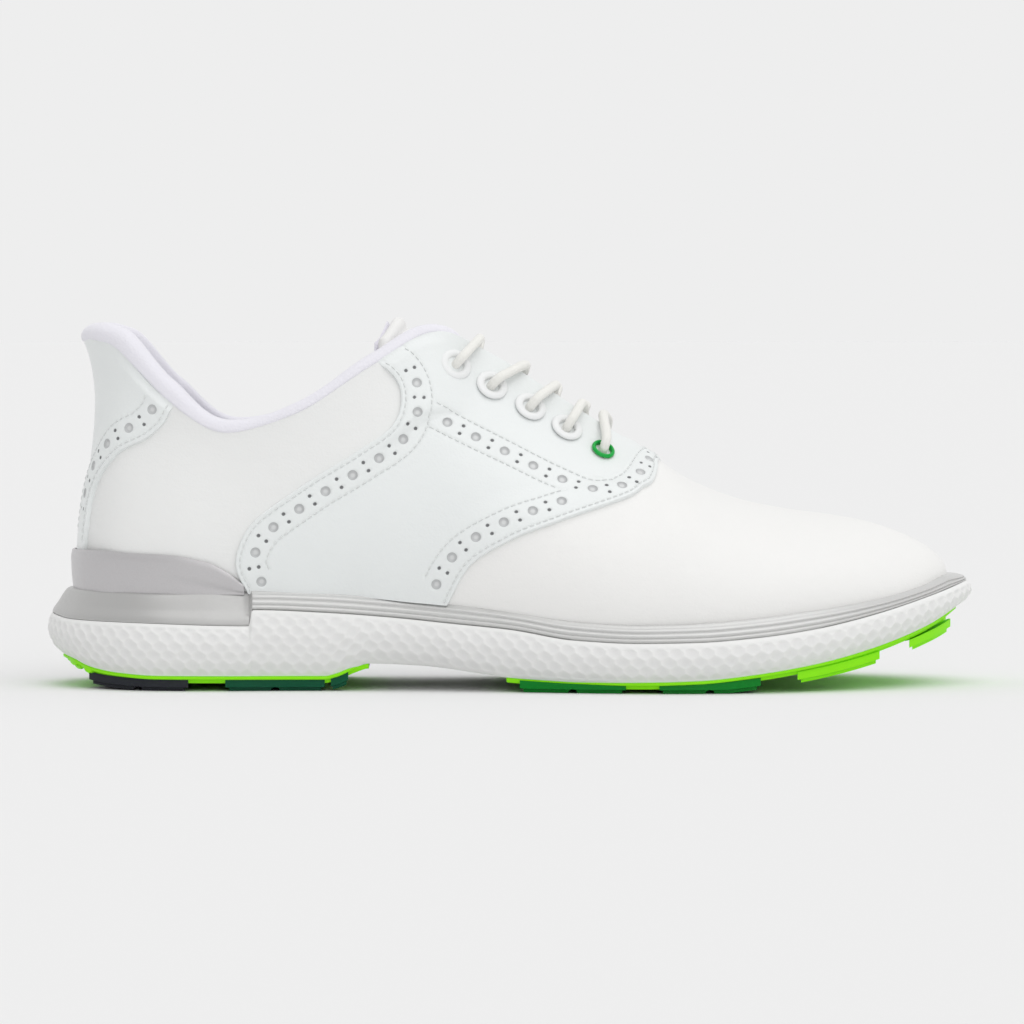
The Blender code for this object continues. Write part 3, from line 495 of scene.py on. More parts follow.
def make_materials():
    return {
        "white_leather": leather("white_leather", (0.88, 0.875, 0.86), (0.80, 0.80, 0.79), 0.45, 0.6),
        "quarter_leather": leather("quarter_leather", (0.85, 0.855, 0.845), (0.79, 0.795, 0.79), 0.45, 0.6),
        "saddle_leather": leather("saddle_leather", (0.83, 0.855, 0.85), (0.77, 0.80, 0.80), 0.28, 0.42),
        "lining": knit("lining_knit", (0.83, 0.815, 0.88), (0.72, 0.70, 0.79)),
        "collar": knit("collar_knit", (0.86, 0.85, 0.90), (0.78, 0.765, 0.84)),
        "footbed": knit("footbed_knit", (0.70, 0.70, 0.72), (0.58, 0.58, 0.61)),
        "foam": foam(),
        "frame": silver("silver_frame", (0.60, 0.60, 0.59), (0.51, 0.51, 0.50)),
        "cup": silver("silver_cup", (0.53, 0.515, 0.525), (0.45, 0.44, 0.45)),
        "white_ring": lacquer("white_ring", (0.86, 0.87, 0.87), (0.74, 0.75, 0.75)),
        "green_ring": lacquer("green_ring", (0.0, 0.40, 0.05), (0.0, 0.27, 0.03)),
        "lace": thread("lace_cotton", (0.89, 0.885, 0.85), (0.76, 0.75, 0.70)),
        "stitch": thread("stitch_thread", (0.78, 0.80, 0.79), (0.60, 0.62, 0.62)),
        "board": board(),
        "charcoal": rubber("charcoal_rubber", (0.022, 0.024, 0.032), (0.035, 0.036, 0.045), 0.5),
        "teal": rubber("teal_rubber", (0.0, 0.075, 0.032), (0.0, 0.11, 0.055), 0.42),
        "green": rubber("green_rubber", (0.0, 0.20, 0.015), (0.0, 0.28, 0.03), 0.42),
        "lime": rubber("lime_rubber", (0.26, 0.86, 0.006), (0.36, 0.92, 0.015), 0.42),
    }


# ---------------------------------------------------------------- mesh helpers

def piece(name, points, faces, material, nodes, body="shoe", sharp=50, fields=None):
    """A piece of the shoe: a mesh that rides on a body and stands for CAD nodes."""
    mesh = bpy.data.meshes.new(name)
    mesh.from_pydata((np.asarray(points) * MM).tolist(), [], [list(f) for f in faces])
    mesh.shade_smooth()
    mesh.set_sharp_from_angle(angle=math.radians(sharp))
    for field, values in (fields or {}).items():
        mesh.attributes.new(field, "FLOAT", "POINT").data.foreach_set("value", np.asarray(values, float))
    mesh.materials.append(MATERIALS[material])
    obj = bpy.data.objects.new(name, mesh)
    bpy.context.scene.collection.objects.link(obj)
    if nodes:
        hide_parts(*nodes)
    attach(obj, body)
    return obj


def grid_faces(ids, flip=False):
    """Quads of a grid of point numbers."""
    quads = np.stack([ids[:-1, :-1], ids[1:, :-1], ids[1:, 1:], ids[:-1, 1:]], axis=-1).reshape(-1, 4)
    return quads[:, ::-1] if flip else quads


def ring_faces(rows, columns, closed_rows=False):
    """Quads of a tube whose columns close up, and whose rows may."""
    ids = np.arange(rows * columns).reshape(rows, columns)
    ids = np.hstack([ids, ids[:, :1]])
    if closed_rows:
        ids = np.vstack([ids, ids[:1]])
    return grid_faces(ids)


def weld(patches):
    """One sheet from patches of base, inner and outer points. Equal base points become one point."""
    base = np.concatenate([p[0].reshape(-1, 3) for p in patches])
    _, first, ids = np.unique(np.round(base, 3) + 0.0, axis=0, return_index=True, return_inverse=True)
    ids = ids.ravel()
    low = np.concatenate([p[1].reshape(-1, 3) for p in patches])[first]
    high = np.concatenate([p[2].reshape(-1, 3) for p in patches])[first]
    faces, start = [], 0
    for grid, _, _, flip in patches:
        count = grid.shape[0] * grid.shape[1]
        faces.append(grid_faces(ids[start:start + count].reshape(grid.shape[:2]), flip))
        start += count
    faces = np.concatenate(faces)
    whole = np.array([len(set(f)) == 4 for f in faces.tolist()])
    return low, high, faces[whole]


def close_sheet(low, high, faces):
    """Points and faces of the closed sheet between the inner and the outer points."""
    count = len(low)
    a, b = faces.ravel(), np.roll(faces, -1, axis=1).ravel()
    rim = ~np.isin(a * count + b, b * count + a)
    a, b = a[rim], b[rim]
    side = np.stack([b, a, a + count, b + count], axis=1)
    return np.vstack([high, low]), np.vstack([faces, faces[:, ::-1] + count, side])


def surface_tree(points, faces):
    return BVHTree.FromPolygons([tuple(p) for p in points], faces.tolist())


def settle(tree, points):
    """The points dropped on a surface, and its normals there."""
    found = [tree.find_nearest(Vector(p)) for p in points]
    return np.array([f[0] for f in found]), np.array([f[1] for f in found])


def directions(points):
    along = np.gradient(points, axis=0)
    return along / np.maximum(np.linalg.norm(along, axis=1, keepdims=True), 1e-9)


def spaced(points, pitch, start, fit=False):
    """Places along a line, one pitch apart. With fit, the pitch is trimmed to end as it starts."""
    along = np.concatenate([[0], np.cumsum(np.linalg.norm(np.diff(points, axis=0), axis=1))])
    room = along[-1] - 2 * start
    if fit:
        pitch = room / (2 * round(room / (2.08 * pitch)))
    stops = start + pitch * np.arange(int(room / pitch + 1.001))
    return np.stack([np.interp(stops, along, points[:, k]) for k in range(3)], axis=1)


def beside(tree, line, distance):
    """The line moved sideways over a surface, to its left by distance."""
    points, n = settle(tree, line)
    left = np.cross(n, directions(points))
    return settle(tree, points + left * np.reshape(distance, (-1, 1)))[0]


# The distance stored where there is no hole.
FAR = 99.0


def unpunched(count):
    """The fields of leather without holes."""
    return {"large": np.full(count, FAR), "small": np.full(count, FAR)}


def nearest(points, targets):
    """Distance from each point to the nearest target."""
    tree = KDTree(len(targets))
    for k, target in enumerate(targets):
        tree.insert(target, k)
    tree.balance()
    return np.array([tree.find(p)[2] for p in points])


def smoothstep(x, start, stop):
    t = np.clip((np.asarray(x, float) - start) / (stop - start), 0, 1)
    return t * t * (3 - 2 * t)


# ---------------------------------------------------------------- panels of the upper

def smooth_edges(outline, top):
    """The station of a panel's edge as a smooth function of height, on each side."""
    edges = []
    for side in (LATERAL, MEDIAL):
        found = [tuple(locate(side, x, z)[::-1]) for x, z in outline]
        table = np.array([(0.0, found[0][1])] + [f for f in found[1:] if f[0] < 0.97] + [(1.0, top)])
        t = np.linspace(0, len(table) - 1, 400)
        fine = catmull(table, t, 2 * table[:1] - table[1:2], 2 * table[-1:] - table[-2:-1])
        v = np.maximum.accumulate(fine[:, 0])
        edges.append(lambda w, v=v, s=fine[:, 1]: np.interp(w, v, s))
    return edges


def even_rows(start, stop, rows):
    """Heights spaced by the length of both edges, so that slanting edges keep fine rows."""
    v = np.linspace(0, 1, 800)
    step = sum(np.abs(np.diff(edge(v))) * 14 for edge in (start, stop)) + np.diff(v) * 60
    along = np.concatenate([[0], np.cumsum(step)])
    return np.interp(np.linspace(0, along[-1], rows), along, v)


def panel(side, start, stop, columns, heights, rise=None, layer=LEATHER):
    """Patch between two edges, its outer face turned down along the cut edges."""
    a, v = np.meshgrid(np.linspace(0, 1, columns), heights, indexing="ij")
    first, final = start(v), stop(v)
    s = first * (1 - a) + final * a
    lift = np.zeros(a.shape) if rise is None else rise(s - first, final - s)
    lift *= 1 - 0.8 * smoothstep(v, 0.93, 0.99) * smoothstep(-s, -7.4, -6.9)
    lift *= 1 - 0.65 * smoothstep(v, 0.85, 1) * smoothstep(s, 11.2, 11.8)
    turn_down = np.zeros(a.shape)
    turn_down[[0, -1]] = 0.38
    turn_down[[1, -2]] = 0.1
    throat = smoothstep(s, 6.9, 7.4) * smoothstep(THROAT - s, 0.1, 0.4)
    fold = smoothstep(v, 0.955, 0.985) * throat * (layer == LEATHER)
    low = layer[0] + 0.55 * lift - fold * (layer[0] + 0.55 * lift + 1.5)
    high = layer[1] + lift - turn_down - 0.5 * fold * (v > 0.999)
    base = last(side, s, v)
    up = base - last(side, s, np.maximum(v - 0.02, 0))
    up *= (0.45 * fold / np.maximum(np.linalg.norm(up, axis=-1), 1e-6))[..., None]
    return base, skin(side, s, v, low) + up, skin(side, s, v, high) + up, side == MEDIAL


def overlap_rise(distance):
    return OVERLAY_RISE * smoothstep(-distance, -1.5, -0.45)


def rise_both(from_start, from_stop):
    return overlap_rise(np.minimum(from_start, from_stop))


def rise_front(from_start, from_stop):
    return overlap_rise(from_stop)


def edge_line(tree, side, edge, inset, toward, span=(0.0, 1.0)):
    """A line on the leather, inset from a panel's edge. Toward is the way in, in stations."""
    v = np.linspace(*span, 90)
    s = edge(v)
    offset = np.full(v.shape, LEATHER[1] + OVERLAY_RISE)
    rim, inner = skin(side, s, v, offset), skin(side, s + toward * 0.1, v, offset)
    along = directions(rim)
    way = inner - rim
    way -= along * np.sum(way * along, axis=1, keepdims=True)
    way /= np.linalg.norm(way, axis=1, keepdims=True)
    return settle(tree, rim + way * inset)[0]


class Brogue:
    """Punched holes and rows of stitches, gathered for one panel."""

    def __init__(self):
        self.large, self.small, self.seams = [], [], []

    def band(self, tree, line, start, fit=False):
        """Large holes along a line, with a pair of small ones across the band between them."""
        places = spaced(line, HOLE_PITCH / 2, start, fit)
        self.large.append(settle(tree, places[::2])[0])
        for shift in (-SMALL_HOLE_SHIFT, SMALL_HOLE_SHIFT):
            self.small.append(beside(tree, places, shift)[1::2])

    def seam(self, tree, line):
        """A row of stitches, each lying in the line, and the valley that they pull in."""
        self.seams.append(settle(tree, spaced(line, 0.6, 0))[0])
        places, n = settle(tree, spaced(line, STITCH_PITCH, 1.0))
        STITCHES.extend(zip(places, n, directions(places)))

    def worked(self, low, high):
        """The outer points with the holes and seams pressed in, and the fields for the material."""
        outward = high - low
        outward /= np.linalg.norm(outward, axis=1, keepdims=True)
        # The large and small distances also drive the painted shade that the leather's material tints into
        # the holes.
        fields = {
            "large": nearest(high, np.concatenate(self.large)),
            "small": nearest(high, np.concatenate(self.small)),
            "seam": nearest(high, np.concatenate(self.seams)),
        }
        depth = 0.6 * (1 - smoothstep(fields["large"], LARGE_HOLE - 0.45, LARGE_HOLE + 0.25))
        depth += 0.45 * (1 - smoothstep(fields["small"], 0.2, SMALL_HOLE + 0.3))
        depth += 0.2 * np.exp(-((fields["seam"] / 0.55) ** 2))
        return high - outward * depth[:, None], fields


def leather_piece(name, patches, material, nodes, brogue=None):
    low, high, faces = weld(patches)
    if brogue is None:
        fields = unpunched(len(low))
    else:
        high, fields = brogue.worked(low, high)
    points, faces = close_sheet(low, high, faces)
    for field, values in fields.items():
        fields[field] = np.concatenate([values, np.full(len(low), FAR)])
    return piece(name, points, faces, material, nodes, fields=fields)


def constant(value):
    return lambda v: np.full(np.shape(v), float(value))


def build_saddle(rear, front):
    heights = even_rows(rear[LATERAL], front[LATERAL], 260)
    patches = [
        panel(side, rear[side], front[side], 300, heights, rise_both) for side in (LATERAL, MEDIAL)
    ]
    low, high, faces = weld(patches)
    tree = surface_tree(high, faces)
    work = Brogue()
    upper = []
    for side in (LATERAL, MEDIAL):
        inset = BAND_SEAM + SEAM_INSET
        work.band(tree, edge_line(tree, side, rear[side], inset, 1), 6.6)
        work.seam(tree, edge_line(tree, side, rear[side], SEAM_INSET, 1))
        work.seam(tree, edge_line(tree, side, rear[side], inset + BAND_SEAM, 1, (0.06, 1.0)))
        line = edge_line(tree, side, front[side], inset + 0.4, -1)
        work.band(tree, line[line[:, 0] < 25], 8.3)
        work.seam(tree, edge_line(tree, side, front[side], 1.5, -1))
        line = edge_line(tree, side, front[side], inset + BAND_SEAM + 0.4, -1, (0.06, 1.0))
        work.seam(tree, line[line[:, 0] < 19])
        found = [locate(side, x, z) for x, z in UPPER_BAND]
        upper.append([skin_point(side, s, v, LEATHER[1]) for s, v in found])
    route = smooth_path(upper[LATERAL] + [np.array(BAND_CREST)] + upper[MEDIAL][::-1], 0.6)
    route = settle(tree, route)[0]
    work.band(tree, route, 10.6, fit=True)
    narrow = BAND_SEAM - 1.9 * np.exp(-((route[:, 1] / 9) ** 2))
    top = beside(tree, route, narrow)
    work.seam(tree, top[top[:, 0] > -24.5])
    bottom = beside(tree, route, -narrow)
    for turn in (-1, 1):
        line = bottom[(bottom[:, 0] > -26.5) & (bottom[:, 0] < 17) & (bottom[:, 1] * turn > 0)]
        work.seam(tree, line)
    leather_piece("saddle_panel", patches, "saddle_leather", ["saddle"], work)


def build_backtab(tab):
    heights = even_rows(tab[LATERAL], tab[MEDIAL], 220)
    patches = [
        panel(side, constant(0), tab[side], 90, heights, rise_front) for side in (LATERAL, MEDIAL)
    ]
    low, high, faces = weld(patches)
    tree = surface_tree(high, faces)
    work = Brogue()
    for side in (LATERAL, MEDIAL):
        work.band(tree, edge_line(tree, side, tab[side], 5.6, -1, (0.24, 1.0))[::-1], 5.5)
        work.seam(tree, edge_line(tree, side, tab[side], 1.5, -1, (0.2, 1.0)))
        work.seam(tree, edge_line(tree, side, tab[side], 9.6, -1, (0.24, 1.0)))
    leather_piece(
        "heel_backtab_panel", patches, "saddle_leather", ["heel_backtab"], work
    )


def build_upper():
    rear, front, tab = (smooth_edges(*edge) for edge in (SADDLE_REAR, SADDLE_FRONT, BACKTAB_FRONT))
    build_saddle(rear, front)
    build_backtab(tab)
    vamp, lining = [], []
    vamp_heights = even_rows(front[LATERAL], front[MEDIAL], 130)
    for side, name in ((LATERAL, "lateral"), (MEDIAL, "medial")):

        def under_front(v, edge=front[side]):
            return np.maximum(edge(v) - 0.4, np.where(v > 0.97, THROAT, 0))

        def behind(v, edge=tab[side]):
            return np.maximum(edge(v) - 0.3, 0.12)

        def ahead(v, edge=rear[side]):
            return edge(v) + 0.35

        vamp.append(panel(side, under_front, constant(TOE), 190, vamp_heights))
        quarter = panel(side, behind, ahead, 130, even_rows(behind, ahead, 100))
        leather_piece(
            f"quarter_panel_{name}", [quarter], "quarter_leather", [f"quarter_{name}"]
        )
        heights = np.linspace(0, 1, 60)
        lining.append(panel(side, constant(0), constant(TOE), 190, heights, layer=LINING))
    leather_piece("vamp_panel", vamp, "white_leather", ["vamp"])
    leather_piece("lining_sock", lining, "lining", ["lining"])


def skin_point(side, s, v, offset):
    return skin(side, np.array([s]), np.array([v]), np.array([offset]))[0]


def build_stitches():
    """Every stitch as a short thread, half sunk in its seam."""
    length, width, height = STITCH
    turn, tilt = np.meshgrid(np.linspace(0, math.pi, 7), np.arange(8) * math.pi / 4, indexing="ij")
    x = np.sign(np.cos(turn)) * np.abs(np.cos(turn)) ** 0.7 * length / 2
    y = np.sin(turn) ** 0.7 * np.cos(tilt) * width / 2
    z = np.sin(turn) ** 0.7 * np.sin(tilt) * height
    shape = np.stack([x, y, z], axis=-1)
    body = ring_faces(5, 8) + 1
    ends = [[0, 1 + k, 1 + (k + 1) % 8] for k in range(8)]
    ends += [[41, 33 + (k + 1) % 8, 33 + k] for k in range(8)]
    local = np.vstack([shape[0, :1], shape[1:-1].reshape(-1, 3), shape[-1, :1]])
    points, faces = [], []
    for number, (place, n, along) in enumerate(STITCHES):
        across = np.cross(n, along)
        across /= np.linalg.norm(across)
        along = np.cross(across, n)
        points.append(place - n * 0.08 + local @ np.array([along, across, n]))
        start = number * len(local)
        faces += (body[:, ::-1] + start).tolist() + [[k + start for k in f] for f in ends]
    piece("stitching", np.vstack(points), faces, "stitch", [], sharp=80)


# ---------------------------------------------------------------- collar and tongue

# How far the roll's foot sits below the edge of the leather.
ROLL_SINK = -0.7


def build_collar_roll():
    """Padded knit roll over the collar's edge, thickest beside the heel."""
    section = np.array(
        [
            (-2.2, 0.05), (-3, 0.35), (-2.8, 0.75), (-1.2, 1.0), (0.9, 1.0), (2.7, 0.8), (3.4, 0.4),
            (2.8, 0.05),
        ]
    )
    fine = catmull(section, np.arange(0, 8, 0.25), section[-1:], section[:2])
    stations = np.linspace(0, 7.5, 130)
    rows = []
    for side, s in [(MEDIAL, s) for s in stations[:0:-1]] + [(LATERAL, s) for s in stations]:
        base = last(side, s, 1.0).reshape(3)
        n = normals(side, s, 1.0).reshape(3)
        up = base - last(side, s, 0.93).reshape(3)
        up /= np.linalg.norm(up)
        height = 3.9 + 1.6 * max(0, 1 - ((s - 2.4) / 2.2) ** 2)
        edge = last(side, s + 0.05, 1.0).reshape(3) - last(side, max(s - 0.05, 0), 1.0).reshape(3)
        height /= max(0.55, np.linalg.norm(np.cross(up, edge)) / np.linalg.norm(edge))
        taper = math.sqrt(max(0.02, 1 - max(0, (s - 7.0) / 0.51) ** 2))
        pinch = 1 - 0.03 * math.cos(s * 2 * math.pi / 0.9)
        spread = (fine[:, :1] - 0.2) * taper * pinch + 0.2
        rise = ROLL_SINK + height * (0.35 + (fine[:, 1:] - 0.35) * taper * pinch)
        rows.append(base + n * spread + up * rise)
    points = np.array(rows)
    count, around = points.shape[:2]
    faces = ring_faces(count, around).tolist()
    faces += [list(range(around)), list(range((count - 1) * around, count * around))[::-1]]
    roll = piece(
        "collar_padding", points.reshape(-1, 3), faces, "collar", ["collar_roll"], sharp=70
    )
    fix_normals(roll)


def fix_normals(obj):
    """Joins points that coincide and turns every face outward."""
    bm = bmesh.new()
    bm.from_mesh(obj.data)
    bmesh.ops.remove_doubles(bm, verts=bm.verts, dist=0.002 * MM)
    bmesh.ops.recalc_face_normals(bm, faces=bm.faces)
    bm.to_mesh(obj.data)
    bm.free()


def tongue_grid():
    """Top face of the tongue, as in the CAD, then read more finely."""
    rows = []
    for s in np.linspace(12.3, 7.6, 8):
        heights = np.array([0.72, 0.82, 0.92, 0.995])
        deep = np.full(4, -TONGUE_DROP)
        left = skin(LATERAL, np.full(4, s), heights, deep)
        right = skin(MEDIAL, np.full(4, s), heights, deep)
        middle = (left[-1] + right[-1]) / 2 + np.array([0, 0, 1.2 if s < THROAT else 0.2])
        rows.append(np.vstack([left, middle, right[::-1]]))
    q = np.linspace(-1, 1, 9)
    for x, z, half, drop, back in TONGUE_TOP:
        rows.append(np.column_stack([x - back * q * q, half * q, z - drop * q * q]))
    rows = np.array(rows)
    return refine(refine(rows, 8).transpose(1, 0, 2), 8).transpose(1, 0, 2)


def refine(rows, steps):
    """The rows of a grid read as smooth curves, steps times finer."""
    count, columns = rows.shape[:2]
    flat = rows.reshape(count, -1)
    t = np.linspace(0, count - 1, steps * (count - 1) + 1)
    fine = catmull(flat, t, 2 * flat[:1] - flat[1:2], 2 * flat[-1:] - flat[-2:-1])
    return fine.reshape(len(t), columns, 3)


def build_tongue():
    grid = tongue_grid()
    n = np.cross(np.gradient(grid, axis=1), np.gradient(grid, axis=0))
    n /= np.linalg.norm(n, axis=2, keepdims=True)
    if n[40, 32, 2] < 0:
        n = -n
    rows, columns = grid.shape[:2]
    i, j = np.meshgrid(np.arange(rows), np.arange(columns), indexing="ij")
    rim = np.minimum(np.minimum(j, columns - 1 - j) / 5.0, (rows - 1 - i) / 5.0)
    fall = 1 - np.sqrt(1 - (1 - np.clip(rim, 0, 1)) ** 2)
    seam = np.exp(-(((rim * 5 - 7) / 1.2) ** 2)) * 0.35
    layers = (
        ("tongue_pad", 0.0, 4.7, 1.9, "white_leather", "white_leather", ["tongue_cover", "tongue_foam"]),
        ("tongue_backing", 5.1, 5.9, 0.3, "lining", "lining_fabric", ["tongue_lining"]),
    )
    for name, top, bottom, roll, material, slot, nodes in layers:
        drop = top + roll * fall + (seam if name == "tongue_pad" else 0)
        lift = bottom - roll * fall
        high, low = grid - n * drop[..., None], grid - n * lift[..., None]
        welded = weld([(grid, low, high, True)])
        points, faces = close_sheet(*welded)
        made = piece(
            name, points, faces, material, nodes, "tongue", sharp=60, fields=unpunched(len(points))
        )


# ---------------------------------------------------------------- lacing

def eyelet_seat(side, number):
    s, v = locate(side, *EYELETS[number])
    return s, v, normals(side, s, v).reshape(3)


def build_eyelets():
    """Pressed rings with a rolled flange."""
    profile = np.array(
        [
            (2.65, -0.6), (2.9, -1.3), (3.2, -1.4), (3.2, 0.5), (3.2, 3.3), (4.4, 3.3), (4.75, 3.5),
            (4.8, 3.85), (4.5, 4.25), (3.8, 4.5), (3.1, 4.35), (2.75, 3.9), (2.65, 2.5),
        ]
    )
    fine = catmull(profile, np.arange(0, len(profile), 0.34), profile[-1:], profile[:2])
    turns = np.linspace(0, 2 * math.pi, 40, endpoint=False)
    for side, name in ((LATERAL, "lateral"), (MEDIAL, "medial")):
        for number in range(len(EYELETS)):
            s, v, axis = eyelet_seat(side, number)
            seat = last(side, s, v).reshape(3)
            across = np.cross(axis, (0, 0, 1))
            across /= np.linalg.norm(across)
            up = np.cross(axis, across)
            radial = np.outer(np.cos(turns), across) + np.outer(np.sin(turns), up)
            green = number == len(EYELETS) - 1
            flange = 2.65 + (fine[:, :1] - 2.65) * (0.6 if green else 1.25)
            points = seat + radial[:, None] * flange[None] + axis * fine[None, :, 1:]
            ring = piece(
                f"eyelet_ring_{name}_{number + 1}", points.reshape(-1, 3),
                ring_faces(*points.shape[:2], closed_rows=True), "green_ring" if green else "white_ring",
                [f"eyelet_{name}_{number + 1}"],
            )
            fix_normals(ring)


def throat_edge(side, s):
    """A point of the throat's edge, with the directions out of the leather and on past the edge."""
    top, lower = skin_point(side, s, 1.0, 0), skin_point(side, s, 0.96, 0)
    onward = (top - lower) / np.linalg.norm(top - lower)
    return top, normals(side, s, 1.0).reshape(3), onward


# How far ahead of its eyelet each strand crosses the throat's edge, in stations.
LACE_LEAN = (0.35, 0.6, 0.5, 0.35)


def lace_over(side, number, station):
    """Route over the throat's edge at a station, down through an eyelet and out below it."""
    s, v, axis = eyelet_seat(side, number)
    seat = last(side, s, v).reshape(3)
    edge, out, onward = throat_edge(side, station)
    crest = edge + out * 4.3 + onward * 2.0
    lean = crest - seat
    lean -= axis * lean.dot(axis)
    lean /= np.linalg.norm(lean)
    rim = [seat + lean * 5.4 + axis * 6.3, seat + lean * 1.9 + axis * 6.5]
    return [crest, *rim, *(seat + axis * d for d in (4.3, 2.0, -0.4, -3.0))]


def lace_side(first):
    """Half of the lacing: from the bar at the lowest pair of eyelets up to the top one."""
    side, lift = first, (3.3 if first == LATERAL else -0.3)
    lowest = len(EYELETS) - 1
    s = eyelet_seat(side, lowest)[0]
    points = lace_over(side, lowest, s + 0.05)
    bar = points[0] * (1, 0, 1) + (0.3, 0, 0.7)
    points = [bar, *points]
    for number in range(lowest - 1, -1, -1):
        s = eyelet_seat(side, number + 1)[0]
        edge, out, onward = throat_edge(side, s - 0.2)
        under = [edge - out * 3.55 - onward * 2.5, edge - out * 3.55 + onward * 2.0]
        side = 1 - side
        t = eyelet_seat(side, number)[0] + LACE_LEAN[number]
        over = lace_over(side, number, t)
        far_edge = throat_edge(side, t)[0]
        middle = np.array([(under[1][0] + over[0][0]) / 2, 0, (edge[2] + far_edge[2]) / 2 + lift])
        points += [*under, middle, *over]
    return points


def build_lace():
    """Round braided lace: crossing strands stand up in a woven pattern."""
    route = smooth_path(lace_side(LATERAL)[::-1] + lace_side(MEDIAL)[1:], LACE_STEP)
    along = directions(route)
    side = np.zeros_like(route)
    across = np.cross(along[0], (0, 1, 0))
    for k, way in enumerate(along):
        across = across - way * across.dot(way)
        across /= np.linalg.norm(across)
        side[k] = across
    up = np.cross(along, side)
    around = 20
    turn = np.arange(around) * 2 * math.pi / around
    length = np.arange(len(route))[:, None] * LACE_STEP
    strands = np.sin(5 * turn + length * 2.4) * np.sin(5 * turn - length * 2.4)
    radius = (LACE_RADIUS + 0.11 * strands)[..., None]
    outward = np.cos(turn)[:, None] * side[:, None] + np.sin(turn)[:, None] * up[:, None]
    points = route[:, None] + radius * outward
    faces = ring_faces(len(route), around).tolist()
    faces += [list(range(around)), list(range((len(route) - 1) * around, len(route) * around))[::-1]]
    lace = piece("lace_braid", points.reshape(-1, 3), faces, "lace", ["lace"], sharp=80)
    fix_normals(lace)


# ---------------------------------------------------------------- sole

def outline_points(side, stations):
    rows = np.array(OUTLINE, float)
    far = rows[:, [0, 2 - side]]
    return catmull(rows[:, [0, 1 + side]], stations, far[1:2], far[-2:-1])


WHOLE_SOLE = (-200, 200)


def rim_line(side, stations):
    """Points of the sole outline, the ways in from them, and the lengths round it from the heel."""
    end = len(OUTLINE) - 1
    turn = 1 if side == LATERAL else -1
    p = outline_points(side, stations)
    ahead = outline_points(side, np.minimum(stations + 0.02, end))
    along = ahead - outline_points(side, np.maximum(stations - 0.02, 0))
    along[stations <= 0] = (0, -turn)
    along[stations >= end] = (0, turn)
    along /= np.linalg.norm(along, axis=1, keepdims=True)
    inward = np.stack([-turn * along[:, 1], turn * along[:, 0]], axis=1)
    length = np.concatenate([[0], np.cumsum(np.linalg.norm(np.diff(p, axis=0), axis=1))])
    return p, inward, length


def sole_wall(name, span, rings, material, nodes, sharp=40, columns=420, fields=()):
    """Closed solid from rings between two places in x. A ring gives inset, height and a field."""
    sides = []
    for side in (LATERAL, MEDIAL):
        p, inward, length = rim_line(side, stations_between(side, *span, columns))
        rows = []
        for inset, height, values in (ring(p[:, 0], length) for ring in rings):
            rows.append(np.column_stack([p + inward * inset[:, None], height, values]))
        sides.append(np.array(rows))
    loop = np.concatenate([sides[LATERAL], sides[MEDIAL][:, ::-1]], axis=1)
    flat = loop.reshape(-1, loop.shape[2])
    made = piece(
        name, flat[:, :3], tube_faces(len(rings), columns), material, nodes, sharp=sharp,
        fields={field: flat[:, 3 + k] for k, field in enumerate(fields)},
    )
    fix_normals(made)
    return made


def tube_faces(rows, columns):
    """Faces of a ring-shaped wall with a floor and a lid of strips from side to side."""
    around = 2 * columns
    faces = ring_faces(rows, around)[:, ::-1].tolist()
    for row in (0, rows - 1):
        for k in range(columns - 1):
            faces.append([row * around + q for q in (k, k + 1, around - 2 - k, around - 1 - k)])
    return faces


def top_of_frame(x):
    seat = x - 4 * np.clip((x - 95) / 30, 0, 1)
    return level(FEATHER, np.clip(seat, -140, 142)) + 0.3


def build_frame():
    """Silver frame: a plain wedge round the heel, and a welt with three ribs before it."""

    def ring_at(w):
        def ring(x, length):
            ledge = 4 + 3 * np.clip((-70 - x) / 20, 0, 1)
            plain = level(((0, 2.7), (0.06, 2.2), (0.25, 1.8), (0.62, 2.4), (0.9, 3.4), (1, 4.2)), w)
            heel = level(((0, 2.3), (0.04, 1.7), (0.5, 3.9), (0.92, 6.3), (0.96, 6.7), (1, 7.3)), w)
            front = smoothstep(x, -84.6, -82.6)
            ribs = 0.55 * np.abs(np.sin(3 * math.pi * min(w / 0.86, 1))) * front
            inset = np.where(ledge > 4, plain + (heel - plain) * (1 - front), plain) - ribs + 0.5 * front
            ahead = level(FRAME_UNDER, np.maximum(x, -82.2))
            low = np.where(front > 0.5, ahead, level(FRAME_UNDER, x))
            top = top_of_frame(x) + 1.0 * smoothstep(-x, 112, 147)
            return inset, low * (1 - w) + top * w, 1 - front

        return ring

    rings = [ring_at(w) for w in np.linspace(0, 1, 40)]
    sole_wall(
        "frame_shell", WHOLE_SOLE, rings, "frame", ["frame"], sharp=35,
        fields=("wedge",),
    )


def build_midsole():
    """Foam wall covered with staggered shallow pits that meet in ridges."""
    shape = ((0, 5.5), (0.1, 3.6), (0.3, 1.4), (0.65, 0), (0.85, 0.45), (1, 1.6))

    def ring_at(w):
        def ring(x, length):
            low = level(SOLE_UNDER, x)
            top = np.maximum(level(FRAME_UNDER, x), level(FRAME_UNDER, x + 0.8)) + 0.1
            height = low * (1 - w) + top * w
            lift = (height - low) + 0.02 * length
            pits = []
            for shift in (0.0, 0.5):
                a = (length / 5.0 + shift + lift * 0.02) % 1 - 0.5
                b = (lift / 5.8 + shift) % 1 - 0.5
                pits.append(np.hypot(a * 5.0, b * 5.8 * 1.15))
            pit = 1 - np.clip(np.min(pits, axis=0) / 2.7, 0, 1) ** 2
            band = smoothstep(top - height, 0.5, 2.2) * smoothstep(height - low, 0.5, 1.8)
            depth = 0.6 * pit * band
            inset = level(shape, np.full(len(x), w)) + depth
            # The third value is stored as the pit field, which the foam's material tints darker as painted
            # shade in the pits.
            return inset, height, pit * band

        return ring

    rings = [ring_at(w) for w in np.linspace(0, 1, 56)]
    sole_wall(
        "midsole_wall", WHOLE_SOLE, rings, "foam", ["midsole"], sharp=60, columns=1100,
        fields=("pit",),
    )


